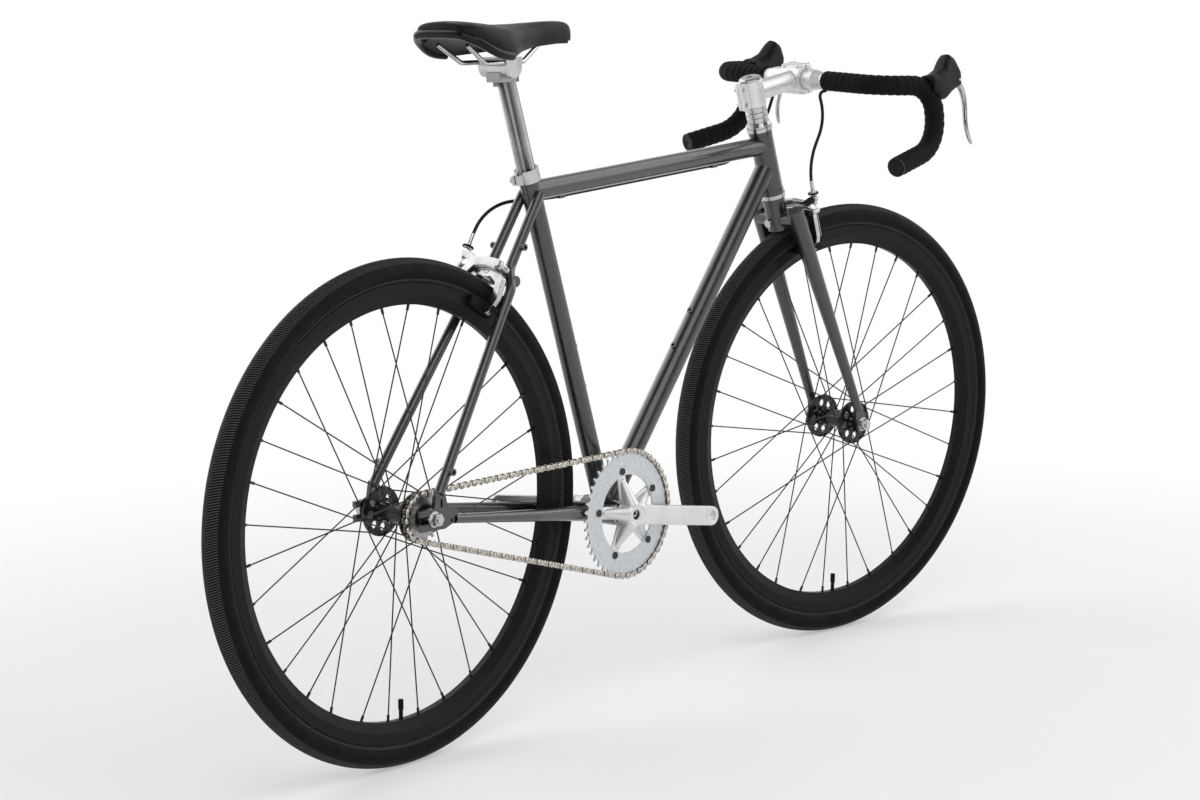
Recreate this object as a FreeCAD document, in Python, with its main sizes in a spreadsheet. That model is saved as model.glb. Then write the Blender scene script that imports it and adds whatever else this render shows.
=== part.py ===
import FreeCAD, Part
import math
import os
import Sketcher
from FreeCAD import Placement, Rotation, Vector

# A fixed gear bicycle with drop bars, caliper brakes and 700c wheels, in millimetres.
# +X is the way it rides, +Y its left side, +Z up.
# The origin is the point where the rear tyre meets the ground.

SIZES = (
    # Wheels and steering geometry
    ("tyre_outer_radius", 351.0),
    ("tyre_half_width", 20.2),
    ("wheelbase", 1007.0),
    ("head_angle", 73.0),
    ("fork_rake", 44.8),
    ("steer_rest_angle", -8.57),
    ("seat_angle", 73.0),
    ("bottom_bracket_drop", 62.0),
    # Chain drive
    ("chain_pitch", 12.7),
    ("chain_links", 100),
    ("chainring_teeth", 46),
    ("cog_teeth", 16),
    ("chain_line", 44.0),
    ("roller_radius", 3.85),
    ("roller_half_width", 1.6),
    ("link_plate_thickness", 1.0),
    ("link_plate_gap", 0.1),
    ("link_plate_radius", 4.1),
    ("chain_pin_radius", 1.8),
    ("chain_pin_stand_out", 0.6),
    ("chain_clearance", 0.1),
    ("tooth_clearance", 0.3),
    ("tooth_rise", 2.9),
    ("sprocket_thickness", 2.4),
    # Frame tubes
    ("head_tube_start", 410.0),
    ("head_tube_length", 105.0),
    ("head_tube_radius", 18.2),
    ("head_tube_bore", 17.0),
    ("head_tube_ring_height", 7.0),
    ("head_tube_ring_stand_out", 0.6),
    ("top_tube_radius", 14.3),
    ("top_tube_below_head_top", 26.5),
    ("top_tube_seat_height", 506.0),
    ("down_tube_radius", 15.9),
    ("down_tube_above_head_end", 46.0),
    ("seat_tube_radius", 14.5),
    ("seat_tube_length", 540.0),
    ("seat_slot_width", 3.0),
    ("seat_slot_length", 34.0),
    ("tube_wall", 0.9),
    ("shell_radius", 20.0),
    ("shell_bore", 17.4),
    ("shell_length", 68.0),
    # Rear triangle
    ("rear_spacing", 120.0),
    ("dropout_thickness", 6.0),
    ("dropout_slot_clearance", 0.2),
    ("dropout_slot_front", 9.0),
    ("dropout_back", 24.0),
    ("dropout_front", 48.0),
    ("dropout_height", 15.0),
    ("dropout_tab_height", 38.0),
    ("dropout_tab_width", 15.0),
    ("dropout_tab_start", 7.0),
    ("dropout_window_width", 4.0),
    ("dropout_window_height", 12.0),
    ("chainstay_shell_offset", 20.0),
    ("chainstay_crimp_offset", 32.0),
    ("chainstay_crimp_width", 14.0),
    ("chainstay_height", 23.0),
    ("seatstay_radius", 7.2),
    ("seatstay_top_offset", 16.0),
    ("seatstay_neck_offset", 19.0),
    ("seatstay_kink_offset", 37.0),
    ("seatstay_bend_radius", 30.0),
    ("seatstay_top_height", 503.0),
    ("seatstay_foot_forward", 14.0),
    ("seatstay_foot_rise", 32.0),
    ("stay_wall", 1.2),
    # Fittings on the frame
    ("bridge_radius", 8.0),
    ("bridge_distance", 366.0),
    ("bridge_angle", 55.6),
    ("chainstay_bridge_radius", 5.5),
    ("chainstay_bridge_forward", 381.0),
    ("boss_radius", 5.0),
    ("boss_thread_radius", 2.5),
    ("boss_stand_out", 2.4),
    ("boss_depth", 9.0),
    ("bottle_boss_down_start", 282.0),
    ("bottle_boss_seat_start", 196.0),
    ("bottle_boss_spacing", 64.0),
    ("rack_boss_radius", 5.0),
    ("rack_boss_length", 5.0),
    ("rack_boss_floor", 1.2),
    ("guide_height", 6.0),
    ("guide_thickness", 9.0),
    ("guide_length", 12.0),
    ("guide_rear_forward", 70.0),
    ("guide_front_back", 118.0),
    ("guide_drop", 2.2),
    ("guide_side", 7.5),
    # Headset and steerer
    ("steerer_radius", 14.3),
    ("steerer_wall", 2.4),
    ("cup_radius", 20.0),
    ("cup_height", 6.0),
    ("cup_insert_depth", 11.0),
    ("cup_wall", 1.6),
    ("bearing_height", 5.0),
    ("bearing_gap", 0.4),
    ("cover_height", 8.0),
    ("cover_top_radius", 17.2),
    ("spacer_height", 8.5),
    ("spacer_count", 3),
    ("spacer_radius", 17.0),
    ("spacer_groove", 0.8),
    ("steerer_clearance", 0.05),
    # Fork
    ("crown_height", 366.0),
    ("crown_arm_radius", 13.0),
    ("crown_boss_radius", 17.5),
    ("crown_boss_drop", 15.0),
    ("crown_race_height", 4.0),
    ("crown_forward", 2.5),
    ("blade_top_height", 384.0),
    ("blade_top_offset", 40.0),
    ("blade_top_radius", 14.3),
    ("blade_end_radius", 7.0),
    ("blade_end_height", 24.0),
    ("blade_cap_thickness", 3.0),
    ("front_spacing", 100.0),
    ("fork_end_thickness", 5.0),
    ("fork_end_width", 22.0),
    ("fork_end_drop", 11.0),
    ("fork_end_slot_clearance", 0.2),
    # Stem and bar
    ("stem_height", 42.0),
    ("stem_length", 98.5),
    ("stem_angle", -6.0),
    ("stem_collar_radius", 19.0),
    ("stem_arm_radius", 15.5),
    ("stem_clamp_radius", 21.5),
    ("stem_clamp_width", 44.0),
    ("stem_split", 1.6),
    ("stem_bolt_radius", 2.5),
    ("stem_bolt_head_radius", 4.2),
    ("stem_bolt_spacing", 38.0),
    ("stem_bolt_side", 15.0),
    ("stem_bolt_head_height", 4.0),
    ("stem_bolt_socket", 2.2),
    ("stem_block_length", 20.0),
    ("stem_bolt_length", 20.0),
    ("stem_ear_length", 9.0),
    ("stem_ear_width", 14.0),
    ("top_cap_height", 4.5),
    ("top_cap_radius", 17.0),
    ("bar_clamp_radius", 15.9),
    ("bar_clamp_half_width", 42.0),
    ("bar_taper_length", 16.0),
    ("bar_radius", 12.4),
    ("bar_wall", 2.0),
    ("tape_thickness", 3.4),
    ("tape_start", 64.0),
    ("bar_corner_half_width", 178.0),
    ("bar_ramp_half_width", 194.0),
    ("bar_drop_half_width", 212.0),
    ("bar_end_half_width", 231.0),
    ("bar_reach", 97.0),
    ("bar_ramp_drop", 2.0),
    ("bar_drop", 118.6),
    ("bar_hook_bottom", 93.0),
    ("bar_end_back", 13.0),
    ("bar_corner_bend", 48.0),
    ("bar_ramp_bend", 40.0),
    ("bar_hook_bend", 65.0),
    ("plug_radius", 14.5),
    ("plug_thickness", 4.0),
    # Brake levers
    ("hood_length", 68.0),
    ("hood_height", 48.0),
    ("hood_width", 27.0),
    ("lever_flare", 9.8),
    ("lever_pivot_forward", 148.0),
    ("lever_pivot_rise", 4.0),
    ("lever_half_width_place", 196.0),
    ("lever_pin_radius", 2.5),
    ("lever_pin_clearance", 0.05),
    ("lever_hub_radius", 6.0),
    ("lever_width", 10.0),
    ("lever_slot_clearance", 0.8),
    ("lever_tip_forward", 23.0),
    ("lever_tip_drop", 98.0),
    ("lever_thickness", 6.5),
    # Wheels in detail
    ("rim_inner_radius", 287.2),
    ("rim_outer_radius", 317.5),
    ("rim_half_width", 12.0),
    ("rim_shoulder_radius", 302.0),
    ("rim_spoke_bed_half_width", 5.0),
    ("rim_seat_radius", 311.0),
    ("rim_well_radius", 308.5),
    ("rim_wall", 1.7),
    ("rim_lip", 1.9),
    ("tyre_sidewall", 2.4),
    ("tyre_tread", 4.5),
    ("bead_clearance", 0.25),
    ("tube_half_width", 14.5),
    ("tube_rubber", 1.0),
    ("tube_centre_radius", 331.5),
    ("valve_radius", 3.0),
    ("valve_cap_radius", 3.8),
    ("valve_cap_length", 14.0),
    ("valve_length", 44.0),
    ("valve_hole_clearance", 0.5),
    ("rear_valve_angle", 268.6),
    ("front_valve_angle", 270.0),
    ("spoke_count", 32),
    ("spoke_crossing", 3),
    ("spoke_radius", 1.0),
    ("spoke_head_radius", 1.8),
    ("spoke_head_thickness", 1.2),
    ("spoke_rim_offset", 1.5),
    ("rear_spoke_angle", 5.1),
    ("front_spoke_angle", 6.9),
    ("nipple_radius", 2.0),
    ("nipple_length", 12.0),
    ("nipple_hole_clearance", 0.3),
    ("nipple_seat", 1.5),
    ("flange_radius", 35.0),
    ("flange_spoke_radius", 31.5),
    ("flange_thickness", 3.2),
    ("flange_offset", 35.0),
    ("flange_hole_radius", 5.5),
    ("flange_hole_circle", 22.0),
    ("flange_hole_count", 8),
    ("flange_spoke_hole_clearance", 0.3),
    ("hub_body_radius", 13.5),
    ("hub_neck_radius", 14.5),
    ("hub_end_clearance", 3.0),
    ("hub_bearing_radius", 11.0),
    ("hub_bearing_width", 8.0),
    ("hub_fit", 0.02),
    ("front_axle_radius", 4.5),
    ("rear_axle_radius", 5.0),
    ("axle_stand_out", 6.0),
    ("axle_nut_radius", 9.2),
    ("axle_nut_height", 9.0),
    ("axle_washer_radius", 11.0),
    ("axle_washer_height", 2.0),
    ("axle_cone_radius", 8.0),
    ("cog_carrier_radius", 17.5),
    ("lockring_radius", 20.0),
    ("lockring_thickness", 4.0),
    # Cranks
    ("crank_length", 165.0),
    ("crank_rest_angle", 9.0),
    ("crank_width", 29.0),
    ("crank_thickness", 13.0),
    ("crank_boss_radius", 17.0),
    ("crank_face", 63.0),
    ("crank_end_face", 76.0),
    ("pedal_thread_radius", 7.15),
    ("spider_circle", 65.0),
    ("spider_tab_radius", 8.5),
    ("spider_root_half_width", 11.0),
    ("spider_thickness", 3.5),
    ("chainring_inner_radius", 58.0),
    ("ring_bolt_radius", 4.0),
    ("ring_bolt_head_radius", 5.4),
    ("ring_bolt_head_height", 1.2),
    ("spindle_radius", 8.5),
    ("spindle_taper_half", 6.3),
    ("spindle_taper_end_half", 5.8),
    ("spindle_end", 58.0),
    ("crank_bolt_radius", 7.5),
    ("crank_bolt_socket", 4.0),
    ("bb_cup_radius", 19.5),
    ("bb_cup_lip", 3.0),
    ("bb_cup_thickness", 14.0),
    # Brakes
    ("brake_washer", 10.0),
    ("brake_arm_thickness", 8.0),
    ("brake_arm_gap", 0.6),
    ("brake_reach", 57.0),
    ("brake_bolt_radius", 3.0),
    ("brake_bolt_clearance", 0.05),
    ("brake_nut_radius", 6.5),
    ("brake_nut_height", 5.0),
    ("brake_pivot_side", 22.0),
    ("brake_pivot_rise", 8.0),
    ("brake_pivot_head_radius", 5.5),
    ("shoe_gap", 1.6),
    ("shoe_thickness", 8.0),
    ("shoe_height", 11.0),
    ("shoe_length", 52.0),
    ("shoe_arm_gap", 0.3),
    ("shoe_bolt_radius", 3.0),
    ("barrel_radius", 3.6),
    ("barrel_length", 16.0),
    ("barrel_ring_radius", 7.0),
    ("barrel_ring_height", 2.4),
    # Cables
    ("housing_radius", 2.5),
    ("wire_radius", 0.8),
    ("wire_hole_clearance", 0.6),
    ("wire_gap", 1.8),
    ("wire_tail", 42.0),
    ("anchor_radius", 4.2),
    ("anchor_length", 8.6),
    ("cable_end_gap", 0.3),
    ("cable_bend", 78.0),
    ("tape_exit_side", 63.9),
    ("tape_exit_drop", 15.2),
    ("tape_leave_side", 48.0),
    ("tape_leave_drop", 18.5),
    ("front_turn_ahead", 92.0),
    ("front_turn_side", 52.0),
    ("front_turn_height", 505.0),
    ("rear_turn_ahead", 58.0),
    ("rear_turn_side", 38.0),
    ("rear_turn_height", 520.0),
    ("head_pass_ahead", 4.5),
    ("head_pass_side", 32.0),
    ("head_pass_drop", 3.3),
    # Seat
    ("seatpost_radius", 13.6),
    ("seatpost_clearance", 0.03),
    ("seatpost_wall", 2.6),
    ("seatpost_bottom", 400.0),
    ("seatpost_top", 672.0),
    ("collar_height", 19.0),
    ("collar_wall", 3.4),
    ("collar_slit", 2.4),
    ("collar_ear_length", 9.0),
    ("collar_ear_width", 14.0),
    ("head_block_length", 40.0),
    ("head_block_width", 26.0),
    ("head_block_height", 14.0),
    ("head_block_drop", 22.0),
    ("head_block_forward", 5.0),
    ("cradle_radius", 16.0),
    ("cradle_clearance", 0.08),
    ("cradle_width", 54.0),
    ("cradle_back", 4.8),
    ("cradle_rise", 693.7),
    ("clamp_plate_length", 34.0),
    ("clamp_plate_height", 7.0),
    ("clamp_bolt_radius", 4.0),
    ("clamp_bolt_length", 6.0),
    ("rail_radius", 3.5),
    ("rail_height", 6.0),
    ("rail_offset", 22.0),
    ("rail_nose_offset", 9.0),
    ("rail_rear_offset", 28.0),
    ("rail_straight", 79.0),
    ("rail_front_kink", 24.0),
    ("rail_rise", 27.0),
    ("rail_front_run", 54.0),
    ("rail_rear_run", 40.0),
    ("rail_bend_radius", 16.0),
    ("saddle_length", 264.0),
    ("saddle_half_width", 68.0),
    ("saddle_height", 50.0),
    ("saddle_top", 59.0),
    ("saddle_behind_clamp", 122.0),
    ("saddle_shell_thickness", 3.0),
    ("saddle_clearance", 1.0),
    # One overrun for every cut
    ("overrun", 2.0),
)

doc = FreeCAD.newDocument("fixed_gear_bike")
sheet = doc.addObject("Spreadsheet::Sheet", "Sizes")


class Size:
    """A size that keeps its value together with the sheet expression behind it."""

    def __init__(self, value, text):
        self.value = float(value)
        self.text = text

    def __float__(self):
        return self.value

    def __add__(self, other):
        return Size(self.value + float(other), "(%s + %s)" % (self.text, text_of(other)))

    __radd__ = __add__

    def __sub__(self, other):
        return Size(self.value - float(other), "(%s - %s)" % (self.text, text_of(other)))

    def __rsub__(self, other):
        return Size(float(other) - self.value, "(%s - %s)" % (text_of(other), self.text))

    def __mul__(self, other):
        return Size(self.value * float(other), "(%s * %s)" % (self.text, text_of(other)))

    __rmul__ = __mul__

    def __truediv__(self, other):
        return Size(self.value / float(other), "(%s / %s)" % (self.text, text_of(other)))

    def __neg__(self):
        return Size(-self.value, "(0 - %s)" % self.text)


def text_of(value):
    """The sheet expression of a size, or a plain number as text."""
    return value.text if isinstance(value, Size) else repr(float(value))


class SizeTable:
    """Every driving size by name."""


size = SizeTable()
for row, (alias, value) in enumerate(SIZES, start=1):
    cell = "B%d" % row
    sheet.set("A%d" % row, alias)
    sheet.set(cell, str(value))
    sheet.setAlias(cell, alias)
    setattr(size, alias, Size(value, "Sizes." + alias))
doc.recompute()

ALONG_X = Vector(1, 0, 0)
ALONG_Y = Vector(0, 1, 0)
ALONG_Z = Vector(0, 0, 1)
HERE = Placement()
nodes = []


# Building helpers

def bind(thing, **sizes):
    """Bind properties of a document object to sheet expressions."""
    for name, value in sizes.items():
        thing.setExpression(name, text_of(value))
    return thing


def vec(x, y, z):
    return Vector(float(x), float(y), float(z))


def at(x, y, z):
    return Placement(vec(x, y, z), Rotation())


def turned(axis, degrees):
    return Placement(Vector(), Rotation(axis, float(degrees)))


def along(start, end):
    """The placement that puts a piece's own Z axis on the line from start to end."""
    return Placement(start, Rotation(ALONG_Z, end - start))


def cylinder(name, radius, height, place=HERE):
    thing = bind(doc.addObject("Part::Cylinder", name), Radius=radius, Height=height)
    thing.Placement = place
    return thing


def box(name, length, width, height, place=HERE):
    """A block centred on its own X and Y, standing on its own Z."""
    thing = bind(doc.addObject("Part::Box", name), Length=length, Width=width, Height=height)
    thing.Placement = place * at(-0.5 * float(length), -0.5 * float(width), 0)
    return thing


def compound(name, things):
    thing = doc.addObject("Part::Compound", name)
    thing.Links = list(things)
    return thing


def fuse(name, things):
    thing = doc.addObject("Part::MultiFuse", name)
    thing.Shapes = list(things)
    thing.Refine = True
    return thing


def cut(name, base, tools):
    thing = doc.addObject("Part::Cut", name)
    thing.Base = base
    thing.Tool = tools[0] if len(tools) == 1 else fuse(name + "_tools", tools)
    return thing


def shaped(name, shape):
    """A piece whose shape comes from swept, lofted or repeated geometry."""
    thing = doc.addObject("Part::Feature", name)
    thing.Shape = shape
    return thing


def node(thing, name, place=None):
    """Name a finished piece and put it in its place."""
    thing.Label = name
    if place is not None:
        thing.Placement = place
    nodes.append(thing)
    return thing


def origin_plane(body, role):
    for feature in body.Origin.OriginFeatures:
        if feature.Role == role:
            return feature
    raise ValueError(role)


def outline(body, name, role, loops):
    """A sketch of closed outlines whose corners are held by sheet sizes."""
    sketch = body.newObject("Sketcher::SketchObject", name)
    sketch.AttachmentSupport = [(origin_plane(body, role), "")]
    sketch.MapMode = "FlatFace"
    for corners in loops:
        first = sketch.GeometryCount
        count = len(corners)
        for index, (x, y) in enumerate(corners):
            next_x, next_y = corners[(index + 1) % count]
            sketch.addGeometry(Part.LineSegment(vec(x, y, 0), vec(next_x, next_y, 0)), False)
        for index, (x, y) in enumerate(corners):
            sketch.addConstraint(Sketcher.Constraint(
                "Coincident", first + index, 2, first + (index + 1) % count, 1))
            for kind, value in (("DistanceX", x), ("DistanceY", y)):
                held = sketch.addConstraint(Sketcher.Constraint(
                    kind, -1, 1, first + index, 1, float(value)))
                if isinstance(value, Size):
                    sketch.setExpression("Constraints[%d]" % held, value.text)
    return sketch


def revolved(name, role, *loops):
    """A body turned about the upright axis of its sketch, from (radius, height) corners."""
    body = doc.addObject("PartDesign::Body", name)
    sketch = outline(body, name + "_profile", role, loops)
    turn = body.newObject("PartDesign::Revolution", name + "_turn")
    turn.Profile = sketch
    turn.ReferenceAxis = (sketch, ["V_Axis"])
    turn.Angle = 360
    return body


def padded(name, role, depth, *loops):
    """A body pushed out both ways from its sketch plane."""
    body = doc.addObject("PartDesign::Body", name)
    sketch = outline(body, name + "_profile", role, loops)
    pad = body.newObject("PartDesign::Pad", name + "_pad")
    pad.Profile = sketch
    pad.Midplane = True
    bind(pad, Length=depth)
    return body


def rounded_path(points, radii):
    """Straight runs through points, joined by arcs tangent to both runs at each inner point."""
    edges = []
    start = points[0]
    for before, corner, after, radius in zip(points, points[1:], points[2:], radii):
        way_in = (before - corner).normalize()
        way_out = (after - corner).normalize()
        half = 0.5 * way_in.getAngle(way_out)
        reach = float(radius) / math.tan(half)
        first = corner + way_in * reach
        last = corner + way_out * reach
        middle = (way_in + way_out).normalize()
        crest = corner + middle * (float(radius) / math.sin(half) - float(radius))
        edges.append(Part.LineSegment(start, first).toShape())
        edges.append(Part.Arc(first, crest, last).toShape())
        start = last
    edges.append(Part.LineSegment(start, points[-1]).toShape())
    return Part.Wire(edges)


def piped(path, radius):
    """A round bar along a path."""
    edge = path.Edges[0]
    ring = Part.Circle(edge.valueAt(edge.FirstParameter), edge.tangentAt(edge.FirstParameter), float(radius))
    return path.makePipeShell([Part.Wire([ring.toShape()])], True, False)


def capsule(start, end, radius_start, radius_end, depth):
    """A flat link in the YZ plane with round ends of two sizes, depth thick towards +X."""
    along_link = end - start
    length = along_link.Length
    lean = math.asin((radius_start - radius_end) / length)
    heading = math.atan2(along_link.z, along_link.y)

    def rim(centre, radius, angle):
        return centre + Vector(0, math.cos(heading + angle), math.sin(heading + angle)) * radius

    side = 0.5 * math.pi - lean
    corners = (rim(start, radius_start, side), rim(start, radius_start, math.pi), rim(start, radius_start,
                                                                                      -side),
               rim(end, radius_end, -side), rim(end, radius_end, 0), rim(end, radius_end, side))
    wire = Part.Wire([
        Part.Arc(corners[0], corners[1], corners[2]).toShape(),
        Part.LineSegment(corners[2], corners[3]).toShape(),
        Part.Arc(corners[3], corners[4], corners[5]).toShape(),
        Part.LineSegment(corners[5], corners[0]).toShape(),
    ])
    return Part.Face(wire).extrude(ALONG_X * depth)


def chain_of_links(stations, depth):
    """Links through stations of (place, radius), joined into one solid."""
    links = [capsule(a, b, ra, rb, depth) for (a, ra), (b, rb) in zip(stations, stations[1:])]
    return links[0].multiFuse(links[1:]).removeSplitter()


def round_bar(start, end, radius):
    return Part.makeCylinder(float(radius), (end - start).Length, start, end - start)


def single(shape):
    """The one solid of a joined shape."""
    return shape.Solids[0]


# Chain drive: the length in links fixes the distance between the axles

pitch = float(size.chain_pitch)
ring_pitch_radius = pitch / (2 * math.sin(math.pi / float(size.chainring_teeth)))
cog_pitch_radius = pitch / (2 * math.sin(math.pi / float(size.cog_teeth)))
pitch_step = ring_pitch_radius - cog_pitch_radius


def chain_wraps(centres):
    """Links on the ring, on one straight run and on the cog for a distance between axles."""
    lean = math.asin(pitch_step / centres)
    on_ring = (math.pi + 2 * lean) * float(size.chainring_teeth) / (2 * math.pi)
    on_cog = (math.pi - 2 * lean) * float(size.cog_teeth) / (2 * math.pi)
    on_run = math.sqrt(centres ** 2 - pitch_step ** 2) / pitch
    return on_ring, on_run, on_cog


def solve_centres():
    """The distance between axles at which the chain just closes."""
    low = ring_pitch_radius + cog_pitch_radius
    high = pitch * float(size.chain_links)
    for _ in range(60):
        middle = 0.5 * (low + high)
        on_ring, on_run, on_cog = chain_wraps(middle)
        if on_ring + 2 * on_run + on_cog < float(size.chain_links):
            low = middle
        else:
            high = middle
    return low


chainstay_length = solve_centres()

# Main places and frames of reference

rear_axle = vec(0, 0, size.tyre_outer_radius)
bb_forward = math.sqrt(chainstay_length ** 2 - float(size.bottom_bracket_drop) ** 2)
bb = vec(bb_forward, 0, size.tyre_outer_radius - size.bottom_bracket_drop)
front_axle = vec(size.wheelbase, 0, size.tyre_outer_radius)


def leaning_frame(origin, degrees):
    """A frame whose Z leans back from the level by an angle, with Y to the left."""
    angle = math.radians(float(degrees))
    up = Vector(-math.cos(angle), 0, math.sin(angle))
    ahead = Vector(math.sin(angle), 0, math.cos(angle))
    return Placement(origin, Rotation(ahead, ALONG_Y, up, "ZXY"))


lean_frame = leaning_frame(front_axle, size.head_angle)
steer_frame = lean_frame * at(-size.fork_rake, 0, 0)
steering = steer_frame * turned(ALONG_Z, size.steer_rest_angle)
seat_frame = leaning_frame(bb, size.seat_angle)
level_frame = turned(ALONG_Y, 90 - float(size.head_angle))
CROSSWISE = turned(ALONG_X, -90)
FORWARD = turned(ALONG_Y, 90)
SIDES = ((1, "left"), (-1, "right"))

head_end = size.head_tube_start
head_top = size.head_tube_start + size.head_tube_length
spin_place = Placement(rear_axle, Rotation())
front_spin_place = steering * at(size.fork_rake, 0, 0) * level_frame
crank_place = Placement(bb, Rotation(ALONG_Y, float(size.crank_rest_angle)))


# Frame: welded steel tubes, each cut to its neighbours

def build_head_tube():
    ring = size.head_tube_radius + size.head_tube_ring_stand_out
    low = head_end + size.head_tube_ring_height
    high = head_top - size.head_tube_ring_height
    return revolved("head_tube_body", "XZ_Plane", (
        (size.head_tube_bore, head_end), (ring, head_end), (ring, low), (size.head_tube_radius, low),
        (size.head_tube_radius, high), (ring, high), (ring, head_top), (size.head_tube_bore, head_top)))


top_tube_rear = seat_frame.multVec(vec(0, 0, size.top_tube_seat_height))
top_tube_front = steer_frame.multVec(vec(0, 0, head_top - size.top_tube_below_head_top))
down_tube_top = steer_frame.multVec(vec(0, 0, head_end + size.down_tube_above_head_end))


def frame_along(start, end):
    """A frame with X along a frame tube, Y to the left and Z square to both."""
    ahead = (end - start).normalize()
    return Placement(start, Rotation(ahead, ALONG_Y, ahead.cross(ALONG_Y), "XYZ"))


top_tube_frame = frame_along(top_tube_rear, top_tube_front)
down_tube_frame = frame_along(bb, down_tube_top)


def tube_between(name, radius, start, end):
    """The outer skin of a tube and its bore, as two cylinders of equal length."""
    length = (end - start).Length
    place = along(start, end)
    outer = doc.addObject("Part::Cylinder", name + "_outer")
    bore = doc.addObject("Part::Cylinder", name + "_bore")
    for thing, bound in ((outer, radius), (bore, radius - size.tube_wall)):
        bind(thing, Radius=bound)
        thing.Height = length
        thing.Placement = place
    return outer, bore


head_skin = cylinder("head_tube_skin", size.head_tube_radius, size.head_tube_length,
                     steer_frame * at(0, 0, head_end))
shell_skin = cylinder("shell_skin", size.shell_radius, size.shell_length,
                      Placement(bb, Rotation()) * at(0, -0.5 * size.shell_length, 0) * CROSSWISE)
seat_skin = cylinder("seat_tube_skin", size.seat_tube_radius, size.seat_tube_length, seat_frame)
top_skin, top_bore = tube_between("top_tube", size.top_tube_radius, top_tube_rear, top_tube_front)
down_skin, down_bore = tube_between("down_tube", size.down_tube_radius, bb, down_tube_top)

down_boss_places = [down_tube_frame * at(size.bottle_boss_down_start + index * size.bottle_boss_spacing, 0,
                                         size.down_tube_radius) for index in range(2)]
seat_boss_places = [seat_frame * at(size.seat_tube_radius, 0,
                                    size.bottle_boss_seat_start + index * size.bottle_boss_spacing) * FORWARD
                    for index in range(2)]
boss_body_radius = size.boss_thread_radius + 0.5 * (size.boss_radius - size.boss_thread_radius)


def boss_holes(name, places):
    return [cylinder("%s_hole_%d" % (name, index), boss_body_radius, 2 * size.boss_depth,
                     place * at(0, 0, -size.boss_depth)) for index, place in enumerate(places)]


node(build_head_tube(), "head_tube", steer_frame)
node(cut("top_tube_cut", top_skin, [top_bore, head_skin, seat_skin]), "top_tube")
node(cut("down_tube_cut", down_skin, [down_bore, head_skin, seat_skin, shell_skin, top_skin]
         + boss_holes("down_boss", down_boss_places)), "down_tube")
seat_bore = cylinder("seat_tube_bore", size.seatpost_radius + size.seatpost_clearance,
                     size.seat_tube_length + 2 * size.overrun, seat_frame * at(0, 0, -size.overrun))
seat_slot = box("seat_tube_slot", 2 * size.seat_tube_radius, size.seat_slot_width,
                size.seat_slot_length + size.overrun,
                seat_frame * at(-size.seat_tube_radius, 0, size.seat_tube_length - size.seat_slot_length))
node(cut("seat_tube_cut", seat_skin, [seat_bore, shell_skin, seat_slot]
         + boss_holes("seat_boss", seat_boss_places)), "seat_tube")
shell_bore = cylinder("shell_bore_cut", size.shell_bore, size.shell_length + 2 * size.overrun,
                      Placement(bb, Rotation()) * at(0, -0.5 * size.shell_length - size.overrun,
                                                     0) * CROSSWISE)
node(cut("shell_cut", shell_skin, [shell_bore]), "bottom_bracket_shell")


# Rear triangle

stay_tip_offset = 0.5 * size.rear_spacing + 0.5 * size.dropout_thickness
CHAINSTAY_SHARES = (
    # along the stay, from shell to crimp, from crimp to tip, width of crimp, height
    (0.03, 0.0, 0.0, 1.45, 1.0),
    (0.11, 0.4, 0.0, 1.20, 1.0),
    (0.20, 1.0, 0.0, 1.0, 1.0),
    (0.28, 1.0, 0.12, 1.0, 0.92),
    (0.46, 1.0, 0.46, 1.22, 0.78),
    (0.90, 1.0, 1.0, 0.93, 0.56),
)


def chainstay(side, wall):
    """One tapered stay, lofted through ovals; wall draws the ovals in for the bore."""
    ahead = (rear_axle - bb).normalize()
    up = Vector(ahead.z, 0, -ahead.x)
    ovals = []
    for along_share, crimp_share, tip_share, width_share, height_share in CHAINSTAY_SHARES:
        offset = (size.chainstay_shell_offset
                  + crimp_share * (size.chainstay_crimp_offset - size.chainstay_shell_offset)
                  + tip_share * (stay_tip_offset - size.chainstay_crimp_offset))
        centre = bb + ahead * (along_share * chainstay_length) + vec(0, side * offset, 0)
        wide = 0.5 * width_share * float(size.chainstay_crimp_width) - wall
        tall = 0.5 * height_share * float(size.chainstay_height) - wall
        ovals.append(oval_wire(centre, up, wide, tall))
    return Part.makeLoft(ovals, True, True)


def oval_wire(centre, up, wide, tall):
    """An oval of four quarter arcs, started at its top, so that lofts do not twist."""
    bend_share = math.sqrt(0.5)
    ring = [centre + up * tall, centre + ALONG_Y * wide, centre - up * tall, centre - ALONG_Y * wide]
    edges = []
    for index in range(4):
        first = ring[index]
        last = ring[(index + 1) % 4]
        crest = centre + (first - centre) * bend_share + (last - centre) * bend_share
        edges.append(Part.Arc(first, crest, last).toShape())
    return Part.Wire(edges)


SEATSTAY_KINK_SHARE = 0.677
SEATSTAY_NECK_SHARE = 0.737


def seatstay_path(side):
    foot = rear_axle + vec(size.seatstay_foot_forward, 0, size.seatstay_foot_rise)
    top = seat_frame.multVec(vec(0, 0, size.seatstay_top_height))
    rise = top - foot
    return rounded_path([
        foot + vec(0, side * stay_tip_offset, 0),
        foot + rise * SEATSTAY_KINK_SHARE + vec(0, side * size.seatstay_kink_offset, 0),
        foot + rise * SEATSTAY_NECK_SHARE + vec(0, side * size.seatstay_neck_offset, 0),
        top + vec(0, side * size.seatstay_top_offset, 0),
    ], [size.seatstay_bend_radius, size.seatstay_bend_radius])


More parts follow.
